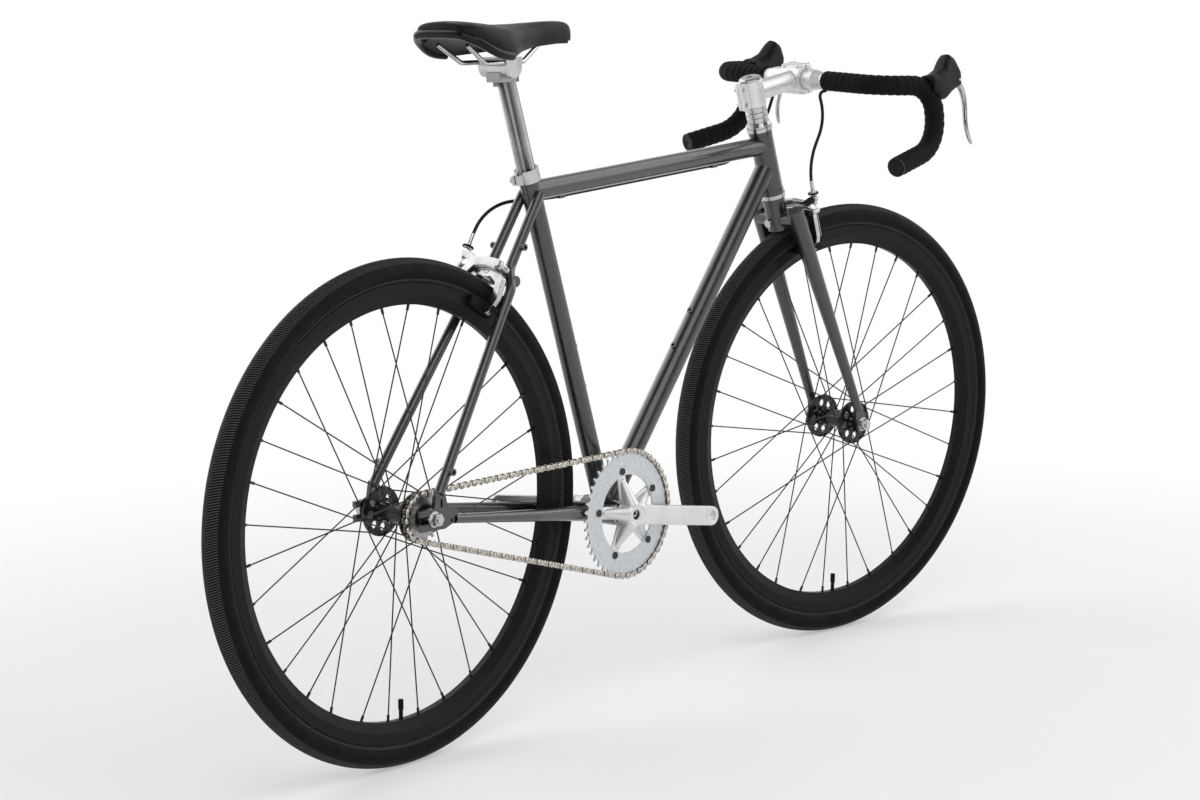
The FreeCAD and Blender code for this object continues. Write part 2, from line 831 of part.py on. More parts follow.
stay_wall = float(size.stay_wall)
chainstay_skins = [shaped("chainstay_skin_" + name, chainstay(side, 0)) for side, name in SIDES]
chainstay_bores = [shaped("chainstay_bore_" + name, chainstay(side, stay_wall)) for side, name in SIDES]
seatstay_skins = [shaped("seatstay_skin_" + name, piped(seatstay_path(side), size.seatstay_radius))
                  for side, name in SIDES]
seatstay_bores = [shaped("seatstay_bore_" + name,
                         piped(seatstay_path(side), size.seatstay_radius - size.stay_wall))
                  for side, name in SIDES]
node(compound("chainstays", [cut("chainstay_" + name, skin, [bore, shell_skin])
                             for skin, bore, (side, name) in zip(chainstay_skins, chainstay_bores, SIDES)]),
     "chainstays")
node(compound("seatstays", [cut("seatstay_" + name, skin, [bore, seat_skin])
                            for skin, bore, (side, name) in zip(seatstay_skins, seatstay_bores, SIDES)]),
     "seatstays")


def dropout_outline():
    """A track end seen from the side, about the axle, with its slot open to the rear."""
    slot = size.rear_axle_radius + size.dropout_slot_clearance
    back = -size.dropout_back
    tab_end = size.dropout_tab_start + size.dropout_tab_width
    return (
        (back, -size.dropout_height), (0.45 * size.dropout_front, -1.1 * size.dropout_height),
        (size.dropout_front, -0.5 * size.dropout_height), (size.dropout_front, 0.45 * size.dropout_height),
        (tab_end + 0.4 * size.dropout_tab_width, 0.9 * size.dropout_height),
        (tab_end, size.dropout_tab_height), (size.dropout_tab_start, size.dropout_tab_height),
        (0.3 * size.dropout_tab_start, size.dropout_height), (back, 0.9 * size.dropout_height),
        (back, slot), (size.dropout_slot_front, slot), (size.dropout_slot_front, -slot), (back, -slot))


def dropout_window():
    """The upright window between axle slot and seatstay."""
    left = size.dropout_tab_start + 0.45 * size.dropout_tab_width
    low = size.dropout_height - 0.1 * size.dropout_window_height
    right = left + size.dropout_window_width
    high = low + size.dropout_window_height
    return ((left, low), (right, low), (right, high), (left, high))


eyelet_place = vec(0.72 * size.dropout_front, 0, -0.45 * size.dropout_height)
dropouts = []
for side, name in SIDES:
    plate = padded("dropout_" + name, "XZ_Plane", size.dropout_thickness, dropout_outline(), dropout_window())
    plate.Placement = Placement(rear_axle, Rotation()) * at(0, side * stay_tip_offset, 0)
    eyelet = cylinder("eyelet_" + name, size.boss_thread_radius, size.dropout_thickness + 2 * size.overrun,
                      Placement(rear_axle + eyelet_place, Rotation())
                      * at(0, side * stay_tip_offset - 0.5 * size.dropout_thickness - size.overrun,
                           0) * CROSSWISE)
    index = 0 if side > 0 else 1
    dropouts.append(cut("dropout_cut_" + name, plate, [chainstay_skins[index], seatstay_skins[index],
                                                       eyelet]))
node(compound("rear_dropouts", dropouts), "rear_dropouts")

# Bridges, bosses and cable guides on the frame

bridge_lean = math.radians(float(size.bridge_angle))
bridge_out = Vector(math.cos(bridge_lean), 0, math.sin(bridge_lean))
bridge_back = Vector(-math.sin(bridge_lean), 0, math.cos(bridge_lean))
bridge_centre = rear_axle + bridge_out * float(size.bridge_distance)
rear_caliper = Placement(bridge_centre + bridge_back * float(size.bridge_radius),
                         Rotation(bridge_back, ALONG_Y * -1, bridge_out, "XYZ"))
front_caliper = steering * at(size.crown_boss_radius + size.bearing_gap, 0, size.crown_height)


def cross_bar(name, centre, radius, half_length):
    return cylinder(name, radius, 2 * half_length,
                    Placement(centre, Rotation()) * at(0, -half_length, 0) * CROSSWISE)


bridge_hole = cylinder("bridge_hole", size.brake_bolt_radius, 2 * size.bridge_radius + 2 * size.overrun,
                       rear_caliper * at(-2 * size.bridge_radius - size.overrun, 0, 0) * FORWARD)
brake_bridge = cut("brake_bridge", cross_bar("bridge_bar", bridge_centre, size.bridge_radius,
                                             size.seatstay_kink_offset), [bridge_hole] + seatstay_skins)
stay_share = (bb.x - float(size.chainstay_bridge_forward)) / bb.x
stay_point = bb + (rear_axle - bb) * stay_share
chainstay_bridge = cut("chainstay_bridge", cross_bar("chainstay_bar", stay_point,
                                                     size.chainstay_bridge_radius,
                                                     size.chainstay_shell_offset), chainstay_skins)


def threaded_boss(name, place):
    """A riveted thread insert: a flange on the tube and a body through its wall."""
    flange = cylinder(name + "_flange", size.boss_radius, size.boss_stand_out, place)
    body = cylinder(name + "_body", boss_body_radius, size.boss_depth, place * at(0, 0, -size.boss_depth))
    thread = cylinder(name + "_thread", size.boss_thread_radius, size.boss_depth + size.boss_stand_out
                      + 2 * size.overrun, place * at(0, 0, -size.boss_depth - size.overrun))
    return cut(name, fuse(name + "_solid", [flange, body]), [thread])


RACK_BOSS_SHARES = (0.073, 0.815)


def rack_boss(name, side, share):
    """A threaded boss on the outer side of a seatstay, its hole closed at the bottom."""
    foot = rear_axle + vec(size.seatstay_foot_forward, 0, size.seatstay_foot_rise)
    rise = seat_frame.multVec(vec(0, 0, size.seatstay_top_height)) - foot
    index = 0 if side > 0 else 1
    if share < SEATSTAY_KINK_SHARE:
        spread = stay_tip_offset + (size.seatstay_kink_offset - stay_tip_offset) * (share / SEATSTAY_KINK_SHARE)
    else:
        climb = (share - SEATSTAY_NECK_SHARE) / (1 - SEATSTAY_NECK_SHARE)
        spread = size.seatstay_neck_offset + (size.seatstay_top_offset - size.seatstay_neck_offset) * climb
    tall = size.rack_boss_length + size.rack_boss_floor
    outer = spread + size.seatstay_radius + tall
    face = Placement(foot + rise * share + vec(0, side * outer, 0), Rotation(ALONG_Z, ALONG_Y * -side))
    stud = cylinder(name + "_stud", size.rack_boss_radius, size.seatstay_radius + tall, face)
    thread = cylinder(name + "_thread", size.boss_thread_radius, size.rack_boss_length + size.overrun,
                      face * at(0, 0, -size.overrun))
    return cut(name, stud, [thread, seatstay_skins[index]])


def cable_guide(name, forward):
    """A brazed-on eye under the top tube, open for the brake housing."""
    centre = top_tube_frame * at(forward, size.guide_side, -size.top_tube_radius - size.guide_drop)
    block = box(name + "_block", size.guide_length, size.guide_thickness,
                size.guide_height + size.top_tube_radius,
                centre * at(0, 0, -0.5 * size.guide_height))
    eye = cylinder(name + "_eye", size.housing_radius + size.chain_clearance, size.guide_length
                   + 2 * size.overrun, centre * at(-0.5 * size.guide_length - size.overrun, 0, 0) * FORWARD)
    return cut(name, block, [eye, top_skin])


top_tube_length = (top_tube_front - top_tube_rear).Length
fittings = [brake_bridge, chainstay_bridge,
            cable_guide("rear_guide", size.guide_rear_forward),
            cable_guide("front_guide", top_tube_length - size.guide_front_back)]
fittings += [threaded_boss("bottle_boss_%d" % index, place)
             for index, place in enumerate(down_boss_places + seat_boss_places)]
fittings += [rack_boss("rack_boss_%s_%d" % (name, index), side, share)
             for side, name in SIDES for index, share in enumerate(RACK_BOSS_SHARES)]
node(compound("frame_fittings", fittings), "frame_fittings")


# Headset: pressed cups, cartridge bearings, cover, spacers and cap

bearing_radius = size.cup_radius - size.cup_wall
bearing_bore = size.steerer_radius + size.steerer_clearance
shoulder = 0.2 * size.bearing_height


def headset_cup(name, edge, way):
    """A cup whose flange sits on the head tube end at edge; way is +1 above and -1 below."""
    inner = size.head_tube_bore - size.cup_wall
    return revolved(name, "XZ_Plane", (
        (inner, edge - way * size.cup_insert_depth), (size.head_tube_bore,
                                                      edge - way * size.cup_insert_depth),
        (size.head_tube_bore, edge), (size.cup_radius, edge), (size.cup_radius, edge + way * size.cup_height),
        (bearing_radius, edge + way * size.cup_height), (bearing_radius, edge + way * shoulder),
        (inner, edge + way * shoulder)))


def ring(name, role, inner, outer, low, high):
    return revolved(name, role, ((inner, low), (outer, low), (outer, high), (inner, high)))


cup_parts = [headset_cup("upper_cup", head_top, 1), headset_cup("lower_cup", head_end, -1),
             ring("upper_bearing", "XZ_Plane", bearing_bore, bearing_radius, head_top + shoulder,
                  head_top + size.cup_height),
             ring("lower_bearing", "XZ_Plane", bearing_bore, bearing_radius, head_end - size.cup_height,
                  head_end - shoulder)]
node(compound("headset_cups", cup_parts), "headset_cups", steer_frame)

cover_low = head_top + size.cup_height + size.bearing_gap
cover_high = cover_low + size.cover_height
stem_low = cover_high + size.spacer_count * size.spacer_height
stem_high = stem_low + size.stem_height
race_top = head_end - size.cup_height - size.bearing_gap


def build_spacers():
    cover = revolved("headset_cover", "XZ_Plane", (
        (size.steerer_radius, cover_low), (size.cup_radius - 0.5 * size.cup_wall, cover_low),
        (size.cup_radius - 0.5 * size.cup_wall, cover_low + 0.3 * size.cover_height),
        (size.cover_top_radius, cover_high), (size.steerer_radius, cover_high)))
    rings = []
    for index in range(int(float(size.spacer_count))):
        low = cover_high + index * size.spacer_height
        high = low + size.spacer_height
        edge = size.spacer_radius - size.spacer_groove
        rings.append(revolved("spacer_%d" % index, "XZ_Plane", (
            (size.steerer_radius, low), (edge, low), (size.spacer_radius, low + size.spacer_groove),
            (size.spacer_radius, high - size.spacer_groove), (edge, high), (size.steerer_radius, high))))
    socket = size.top_cap_radius / 4
    cap = revolved("top_cap", "XZ_Plane", (
        (0, stem_high), (size.top_cap_radius, stem_high), (size.top_cap_radius, stem_high
                                                           + 0.6 * size.top_cap_height),
        (0.8 * size.top_cap_radius, stem_high + size.top_cap_height),
        (socket, stem_high + size.top_cap_height), (socket, stem_high + 0.5 * size.top_cap_height),
        (0, stem_high + 0.5 * size.top_cap_height)))
    return [cover] + rings + [cap]


node(compound("headset_spacers", build_spacers()), "headset_spacers", steering)


# Fork

crown_low = size.crown_height - size.crown_boss_drop
steerer_top = stem_high - size.bearing_gap
crown_bolt_hole = cylinder("crown_bolt_hole", size.brake_bolt_radius, 4 * size.crown_boss_radius,
                           at(-2 * size.crown_boss_radius, 0, size.crown_height) * FORWARD)
steerer_tube = ring("steerer_body", "XZ_Plane", size.steerer_radius - size.steerer_wall, size.steerer_radius,
                    crown_low, steerer_top)
node(cut("steerer_cut", steerer_tube, [crown_bolt_hole]), "fork_steerer", steering)


def blade_line(side):
    top = vec(size.crown_forward, side * size.blade_top_offset, size.blade_top_height)
    foot = vec(size.fork_rake, side * fork_end_offset, size.blade_end_height)
    return top, foot


fork_end_offset = 0.5 * size.front_spacing + 0.5 * size.fork_end_thickness


def blade_cone(name, side, inset, cap):
    """A tapered blade, drawn in by inset and started cap below its top."""
    top, foot = blade_line(side)
    down = (foot - top).normalize()
    start = top + down * float(cap)
    thing = doc.addObject("Part::Cone", name)
    bind(thing, Radius1=size.blade_top_radius - inset, Radius2=size.blade_end_radius - inset)
    thing.Height = (foot - start).Length
    thing.Placement = along(start, foot)
    return thing


blade_skins = [blade_cone("blade_skin_" + name, side, 0 * size.tube_wall, 0) for side, name in SIDES]
blade_bores = [blade_cone("blade_bore_" + name, side, size.stay_wall, size.blade_cap_thickness)
               for side, name in SIDES]


def fork_end_outline():
    """A fork end seen from the side, about the axle, with its slot open downwards."""
    half = 0.5 * size.fork_end_width
    slot = size.front_axle_radius + size.fork_end_slot_clearance
    rise = size.blade_end_height + size.blade_end_radius
    neck = 0.9 * size.blade_end_radius
    return ((-neck, rise), (-half, 0.4 * size.blade_end_height), (-half, -size.fork_end_drop),
            (-slot, -size.fork_end_drop), (-slot, slot), (slot, slot), (slot, -size.fork_end_drop),
            (half, -size.fork_end_drop), (half, 0.4 * size.blade_end_height), (neck, rise))


fork_ends = []
for (side, name), skin in zip(SIDES, blade_skins):
    plate = padded("fork_end_" + name, "XZ_Plane", size.fork_end_thickness, fork_end_outline())
    plate.Placement = at(size.fork_rake, side * fork_end_offset, 0)
    fork_ends.append(cut("fork_end_cut_" + name, plate, [skin]))
blades = [cut("blade_" + name, skin, [bore]) for skin, bore, (side, name) in zip(blade_skins, blade_bores,
                                                                                 SIDES)]
node(compound("fork_blades", blades + fork_ends), "fork_blades", steering)

crown_arm = cylinder("crown_arm", size.crown_arm_radius, 2 * size.blade_top_offset,
                     at(size.crown_forward, -size.blade_top_offset, size.crown_height) * CROSSWISE)
crown_boss = cylinder("crown_boss", size.crown_boss_radius, race_top - size.crown_race_height - crown_low,
                      at(0, 0, crown_low))
crown_race = cylinder("crown_race", bearing_radius, size.crown_race_height,
                      at(0, 0, race_top - size.crown_race_height))
steerer_hole = cylinder("steerer_hole", size.steerer_radius, size.head_tube_start,
                        at(0, 0, crown_low - size.overrun))
node(cut("crown_cut", fuse("crown_solid", [crown_arm, crown_boss, crown_race]),
         [steerer_hole, crown_bolt_hole] + blade_skins), "fork_crown", steering)


# Stem, faceplate and their bolts

stem_mid = stem_low + 0.5 * size.stem_height
stem_frame = at(0, 0, stem_mid) * turned(ALONG_Y, -size.stem_angle)
bar_place = stem_frame * at(size.stem_length, 0, 0)
bar_frame = Placement(bar_place.Base, Rotation()) * level_frame


def cap_screw(name, place, length):
    """A screw with a round socket head, its shank running down from the face it is set on."""
    shank = size.stem_bolt_radius
    head = size.stem_bolt_head_radius
    rise = size.stem_bolt_head_height
    screw = revolved(name, "XZ_Plane", (
        (0, -length), (shank, -length), (shank, 0), (head, 0), (head, rise), (size.stem_bolt_socket, rise),
        (size.stem_bolt_socket, 0.4 * rise), (0, 0.4 * rise)))
    screw.Placement = place
    return screw


def stem_hole(name, place, length):
    return cylinder(name, size.stem_bolt_radius, length, place * at(0, 0, -length))


stem_collar = cylinder("stem_collar", size.stem_collar_radius, size.stem_height, at(0, 0, stem_low))
stem_arm = cylinder("stem_arm", size.stem_arm_radius, size.stem_length, stem_frame * FORWARD)
stem_clamp = cylinder("stem_clamp", size.stem_clamp_radius, size.stem_clamp_width,
                      bar_place * at(0, -0.5 * size.stem_clamp_width, 0) * CROSSWISE)
block_height = size.stem_bolt_spacing + 2 * size.stem_bolt_head_radius
stem_block = box("stem_block", size.stem_block_length, size.stem_clamp_width, block_height,
                 bar_place * at(0, 0, -0.5 * block_height))
ear_length = size.stem_ear_length + size.stem_collar_radius
stem_ears = box("stem_ears", ear_length, size.stem_ear_width, size.stem_height,
                at(-0.5 * ear_length, 0, stem_low))
steerer_bore = cylinder("stem_steerer_bore", size.steerer_radius, size.stem_height + 2 * size.overrun,
                        at(0, 0, stem_low - size.overrun))
bar_bore = cylinder("stem_bar_bore", size.bar_clamp_radius, 2 * size.stem_clamp_width,
                    bar_place * at(0, -size.stem_clamp_width, 0) * CROSSWISE)
half_length = 3 * size.stem_clamp_radius
front_half = box("stem_front_half", half_length, 2 * size.stem_clamp_width, 4 * size.stem_clamp_radius,
                 bar_place * at(0.5 * half_length - 0.5 * size.stem_split, 0, -2 * size.stem_clamp_radius))
rear_half = box("stem_rear_half", half_length, 2 * size.stem_clamp_width, 4 * size.stem_clamp_radius,
                bar_place * at(0.5 * size.stem_split - 0.5 * half_length, 0, -2 * size.stem_clamp_radius))
ear_slit = box("stem_ear_slit", 2 * ear_length, size.stem_split, size.stem_height + 2 * size.overrun,
               at(-ear_length, 0, stem_low - size.overrun))
face_screw_places = [bar_place * at(0.5 * size.stem_block_length, across * size.stem_bolt_side,
                                    up * 0.5 * size.stem_bolt_spacing) * FORWARD
                     for across in (1, -1) for up in (1, -1)]
ear_screw_places = [at(-size.stem_collar_radius - 0.4 * size.stem_ear_length, 0.5 * size.stem_ear_width,
                       stem_mid + up * 0.28 * size.stem_height) * CROSSWISE for up in (1, -1)]
face_holes = [stem_hole("face_hole_%d" % index, place, size.stem_bolt_length)
              for index, place in enumerate(face_screw_places)]
ear_holes = [stem_hole("ear_hole_%d" % index, place, size.stem_ear_width)
             for index, place in enumerate(ear_screw_places)]
node(cut("stem_cut", fuse("stem_solid", [stem_collar, stem_arm, stem_clamp, stem_block, stem_ears]),
         [steerer_bore, bar_bore, front_half, ear_slit] + face_holes + ear_holes), "stem", steering)
face_seats = [cylinder("face_seat_%d" % index, size.stem_bolt_head_radius + size.bearing_gap,
                       size.stem_clamp_radius, place) for index, place in enumerate(face_screw_places)]
node(cut("faceplate_cut", fuse("faceplate_solid", [stem_clamp, stem_block]),
         [bar_bore, rear_half] + face_holes + face_seats), "stem_faceplate", steering)
stem_screws = [cap_screw("face_screw_%d" % index, place, size.stem_bolt_length)
               for index, place in enumerate(face_screw_places)]
stem_screws += [cap_screw("ear_screw_%d" % index, place, size.stem_ear_width)
                for index, place in enumerate(ear_screw_places)]
node(compound("stem_bolts", stem_screws), "stem_bolts", steering)


# Drop bar, tape and end plugs

def bar_corners(side):
    """The corners of one half of the bar, from the tops to its end."""
    return [vec(0, side * size.bar_corner_half_width, 0),
            vec(size.bar_reach, side * size.bar_ramp_half_width, -size.bar_ramp_drop),
            vec(size.bar_reach, side * size.bar_drop_half_width, -size.bar_hook_bottom),
            vec(-size.bar_end_back, side * size.bar_end_half_width, -size.bar_drop)]


bar_bends = [size.bar_corner_bend, size.bar_ramp_bend, size.bar_hook_bend]


def build_bar():
    path = rounded_path(bar_corners(-1)[::-1] + bar_corners(1), bar_bends[::-1] + bar_bends)
    skin = piped(path, size.bar_radius)
    half = float(size.bar_clamp_half_width)
    taper = float(size.bar_taper_length)
    bulge = [Part.makeCylinder(float(size.bar_clamp_radius), 2 * half, Vector(0, -half, 0), ALONG_Y)]
    for side in (1, -1):
        bulge.append(Part.makeCone(float(size.bar_clamp_radius), float(size.bar_radius), taper,
                                   Vector(0, side * half, 0), ALONG_Y * side))
    bore = piped(path, size.bar_radius - size.bar_wall)
    return single(skin.multiFuse(bulge).cut(bore))


def tape_path(side):
    return rounded_path([vec(0, side * size.tape_start, 0)] + bar_corners(side), bar_bends)


def build_tape():
    pieces = []
    for side, name in SIDES:
        path = tape_path(side)
        pieces.append(single(piped(path, size.bar_radius + size.tape_thickness).cut(piped(path,
                                                                                          size.bar_radius))))
        corners = bar_corners(side)
        end = corners[-1]
        out = (end - corners[-2]).normalize()
        depth = float(size.plug_thickness)
        plug = round_bar(end, end + out * depth, size.plug_radius)
        shank = round_bar(end - out * (3 * depth), end, size.bar_radius - size.bar_wall)
        pieces.append(single(plug.fuse(shank)))
    return Part.makeCompound(pieces)


bar_world = steering * bar_frame
node(shaped("handlebar", build_bar()), "handlebar", bar_world)
node(shaped("bar_tape", build_tape()), "bar_tape", bar_world)


# Brake hoods and levers

HOOD_SHARES = (
    # ahead of the pivot, low and high edge, width
    (-0.95, -0.35, 0.20, 1.30),
    (-0.75, -0.62, 0.25, 1.33),
    (-0.50, -0.60, 0.42, 1.20),
    (-0.36, -0.48, 0.72, 1.08),
    (-0.26, -0.38, 0.86, 1.00),
    (-0.10, -0.28, 0.74, 0.90),
    (0.08, -0.20, 0.34, 0.80),
)
HOOD_CORNER_SHARE = 0.36


def rounded_section(ahead, wide, low, high, corner):
    """A round-cornered upright section across X."""
    half = 0.5 * wide
    turn = corner * (1 - math.sqrt(0.5))
    spots = ((half, low + corner), (half, high - corner), (half - turn, high - turn), (half - corner, high),
             (corner - half, high), (turn - half, high - turn), (-half, high - corner), (-half, low + corner),
             (turn - half, low + turn), (corner - half, low), (half - corner, low), (half - turn, low + turn))
    p = [Vector(ahead, across, up) for across, up in spots]
    return Part.Wire([
        Part.LineSegment(p[0], p[1]).toShape(), Part.Arc(p[1], p[2], p[3]).toShape(),
        Part.LineSegment(p[3], p[4]).toShape(), Part.Arc(p[4], p[5], p[6]).toShape(),
        Part.LineSegment(p[6], p[7]).toShape(), Part.Arc(p[7], p[8], p[9]).toShape(),
        Part.LineSegment(p[9], p[10]).toShape(), Part.Arc(p[10], p[11], p[0]).toShape()])


def lever_place(side):
    return (at(size.lever_pivot_forward, side * size.lever_half_width_place, size.lever_pivot_rise)
            * turned(ALONG_X, side * size.lever_flare))


def build_hood(side):
    """A lever body under its rubber hood, wrapped on the taped bar and slotted for the lever."""
    length = float(size.hood_length)
    height = float(size.hood_height)
    sections = []
    for ahead, low, high, wide in HOOD_SHARES:
        across = wide * float(size.hood_width)
        corner = min(HOOD_CORNER_SHARE * across, HOOD_CORNER_SHARE * (high - low) * height)
        sections.append(rounded_section(ahead * length, across, low * height, high * height, corner))
    body = Part.makeLoft(sections, True, True)
    gap = float(size.lever_width + 2 * size.lever_slot_clearance)
    roof = float(size.lever_hub_radius + size.lever_slot_clearance)
    slot = Part.makeBox(length, gap, height + roof, Vector(-0.2 * length, -0.5 * gap, -height))
    span = float(size.hood_width)
    hole = Part.makeCylinder(float(size.lever_pin_radius), 2 * span, Vector(0, -span, 0), ALONG_Y)
    body = body.cut(slot).cut(hole)
    body.Placement = lever_place(side)
    body = body.cut(piped(tape_path(side), size.bar_radius + size.tape_thickness))
    pin_span = 0.8 * span
    pin = Part.makeCylinder(float(size.lever_pin_radius), pin_span, Vector(0, -0.5 * pin_span, 0), ALONG_Y)
    pin.Placement = lever_place(side)
    solids = sorted(body.Solids, key=lambda piece: piece.Volume)
    return [solids[-1], pin]


LEVER_SHARES = (
    # ahead and down towards the tip, radius in thicknesses
    (0.43, 0.08, 0.77),
    (0.70, 0.31, 0.55),
    (0.74, 0.61, 0.50),
    (1.0, 1.0, 0.50),
)


def build_lever():
    """A lever blade about its pivot, from the hub down to the flared tip."""
    stations = [(Vector(), float(size.lever_hub_radius))]
    for ahead, down, thick in LEVER_SHARES:
        stations.append((vec(0, ahead * size.lever_tip_forward, -down * size.lever_tip_drop),
                         thick * float(size.lever_thickness)))
    width = float(size.lever_width)
    blade = chain_of_links(stations, width)
    blade.Placement = at(0, 0.5 * width, 0) * turned(ALONG_Z, -90)
    hole = Part.makeCylinder(float(size.lever_pin_radius + size.lever_pin_clearance), 2 * width,
                             Vector(0, -width, 0), ALONG_Y)
    return single(blade.cut(hole))


node(shaped("brake_hoods", Part.makeCompound(build_hood(1) + build_hood(-1))), "brake_hoods", bar_world)
for side, name in SIDES:
    node(shaped(name + "_brake_lever", build_lever()), name + "_brake_lever", bar_world * lever_place(side))


# Wheels

def polar(radius, degrees, across=0):
    angle = math.radians(float(degrees))
    return vec(float(radius) * math.cos(angle), across, float(radius) * math.sin(angle))


def spin(shape, degrees):
    """A copy turned about the axle, positive from +X towards +Z."""
    copy = shape.copy()
    copy.Placement = turned(ALONG_Y, -degrees)
    return copy


spokes_a_side = int(float(size.spoke_count)) // 2
hub_step = 360.0 / spokes_a_side
crossing_angle = hub_step * float(size.spoke_crossing)
nipple_top = size.rim_inner_radius + size.rim_wall + size.nipple_seat


def spoke_ends(side, parity):
    """Head, elbow and nipple end of a spoke whose flange hole lies on the X axis."""
    way = side if parity else -side
    face = side * size.flange_offset
    swing = crossing_angle if parity else -crossing_angle
    end = polar(nipple_top, swing, side * size.spoke_rim_offset)
    stand = 0.5 * float(size.flange_thickness) + float(size.spoke_radius)
    if parity:
        stand += flange_edge_lift(end)
    head = vec(size.flange_spoke_radius, face - way * (0.5 * size.flange_thickness), 0)
    elbow = vec(size.flange_spoke_radius, float(face) + way * stand, 0)
    return head, elbow, end


def flange_edge_lift(end):
    """How far an outer spoke stands off the flange to clear its edge on the way in to the rim."""
    hole = float(size.flange_spoke_radius)
    run = Vector(end.x - hole, 0, end.z)
    along = hole * run.x / run.Length
    edge_run = math.sqrt(along ** 2 + float(size.flange_radius) ** 2 - hole ** 2) - along
    lean = float(size.flange_offset - size.spoke_rim_offset) / run.Length
    return edge_run * lean + float(size.flange_spoke_hole_clearance)


def build_spoke(side, parity):
    """A bent spoke with its head against the flange and its nipple at the rim."""
    head, elbow, end = spoke_ends(side, parity)
    heading = (end - elbow).normalize()
    shank = piped(rounded_path([head, elbow, end], [1.2 * size.spoke_radius]), size.spoke_radius)
    out = (head - elbow).normalize()
    button = round_bar(head, head + out * float(size.spoke_head_thickness), size.spoke_head_radius)
    nipple = round_bar(end - heading * float(size.nipple_length), end, size.nipple_radius)
    return single(shank.multiFuse([button, nipple]))


def spoke_turns(side, parity, phase):
    """The angles at which one kind of spoke repeats round the wheel."""
    lead = 0.5 * hub_step if side > 0 else 0.0
    return [float(phase) + lead + hub_step * (2 * index + parity) for index in range(spokes_a_side // 2)]


def build_spokes(phase):
    kinds = [(side, parity) for side in (1, -1) for parity in (0, 1)]
    return Part.makeCompound([spin(build_spoke(side, parity), turn) for side, parity in kinds
                              for turn in spoke_turns(side, parity, phase)])


def rim_holes(phase, valve_angle):
    """Tools for the nipple holes and the valve hole of a rim."""
    holes = []
    reach = float(size.nipple_length)
    for side in (1, -1):
        for parity in (0, 1):
            head, elbow, end = spoke_ends(side, parity)
            heading = (end - elbow).normalize()
            hole = round_bar(end - heading * reach, end + heading,
                             size.nipple_radius + size.nipple_hole_clearance)
            holes += [spin(hole, turn) for turn in spoke_turns(side, parity, phase)]
    valve = round_bar(polar(size.rim_inner_radius - size.overrun, valve_angle),
                      polar(size.rim_outer_radius, valve_angle),
                      size.valve_radius + size.valve_hole_clearance)
    return Part.makeCompound(holes + [valve])


def rim_profile():
    """Outer and hollow outline of a deep box rim, as (radius, across)."""
    lip = size.rim_half_width - size.rim_lip
    seat = lip - 0.2 * size.rim_lip
    well = 0.42 * size.rim_half_width
    right = [(size.rim_inner_radius, size.rim_spoke_bed_half_width),
             (size.rim_shoulder_radius, size.rim_half_width),
             (size.rim_outer_radius, size.rim_half_width), (size.rim_outer_radius, lip),
             (size.rim_seat_radius, seat), (size.rim_well_radius, well)]
    hollow = [(size.rim_inner_radius + size.rim_wall, size.rim_spoke_bed_half_width - 0.4 * size.rim_wall),
              (size.rim_shoulder_radius, size.rim_half_width - size.rim_wall),
              (size.rim_well_radius - size.rim_wall, 0.62 * size.rim_half_width)]
    return [right + [(radius, -across) for radius, across in right[::-1]],
            hollow + [(radius, -across) for radius, across in hollow[::-1]]]


def build_tyre():
    """A clincher tyre of one section turned about the axle: beads, side walls and tread."""
    crown = float(size.tyre_outer_radius)
    half = float(size.tyre_half_width)
    wall = float(size.tyre_sidewall)
    widest = crown - half
    foot = float(size.rim_seat_radius + size.bead_clearance)
    lip = float(size.rim_half_width - size.rim_lip - size.bead_clearance)
    edge = float(size.rim_outer_radius + size.bead_clearance)
    heel = lip - 0.2 * float(size.rim_lip)
    flank = 0.5 * (edge + widest)
    flank_half = 0.5 * (lip + half) + 0.17 * (half - lip)

    def spot(radius, across):
        return Vector(radius, across, 0)

    outer_left = Part.Arc(spot(edge, -lip), spot(flank, -flank_half), spot(widest, -half))
    tread = Part.Arc(spot(widest, -half), spot(crown, 0), spot(widest, half))
    outer_right = Part.Arc(spot(widest, half), spot(flank, flank_half), spot(edge, lip))
    inner_right = Part.Arc(spot(edge, lip - wall), spot(flank, flank_half - wall), spot(widest, half - wall))
    ceiling = Part.Arc(spot(widest, half - wall), spot(crown - float(size.tyre_tread), 0),
                       spot(widest, wall - half))
    inner_left = Part.Arc(spot(widest, wall - half), spot(flank, wall - flank_half), spot(edge, wall - lip))
    edges = [outer_left, tread, outer_right,
             Part.LineSegment(spot(edge, lip), spot(foot, heel)),
             Part.LineSegment(spot(foot, heel), spot(foot, heel - wall)),
             Part.LineSegment(spot(foot, heel - wall), spot(edge, lip - wall)),
             inner_right, ceiling, inner_left,
             Part.LineSegment(spot(edge, wall - lip), spot(foot, wall - heel)),
             Part.LineSegment(spot(foot, wall - heel), spot(foot, -heel)),
             Part.LineSegment(spot(foot, -heel), spot(edge, -lip))]
    section = Part.Face(Part.Wire(Part.__sortEdges__([edge_curve.toShape() for edge_curve in edges])))
    return section.revolve(Vector(), ALONG_Y, 360)


def build_inner_tube(valve_angle):
    """The blown-up tube with its valve through the rim, and the valve cap."""
    ring_radius = float(size.tube_centre_radius)
    half = float(size.tube_half_width)
    skin = Part.makeTorus(ring_radius, half, Vector(), ALONG_Y)
    air = Part.makeTorus(ring_radius, half - float(size.tube_rubber), Vector(), ALONG_Y)
    root = size.tube_centre_radius - size.tube_half_width + 0.5 * size.tube_rubber
    tip = root - size.valve_length
    valve = round_bar(polar(tip, valve_angle), polar(root, valve_angle), size.valve_radius)
    cap_end = polar(tip - size.valve_cap_length, valve_angle)
    cap = round_bar(cap_end, polar(tip, valve_angle), size.valve_cap_radius)
    tube = skin.cut(air).fuse(valve.cut(air))
    return Part.makeCompound([single(tube), cap])


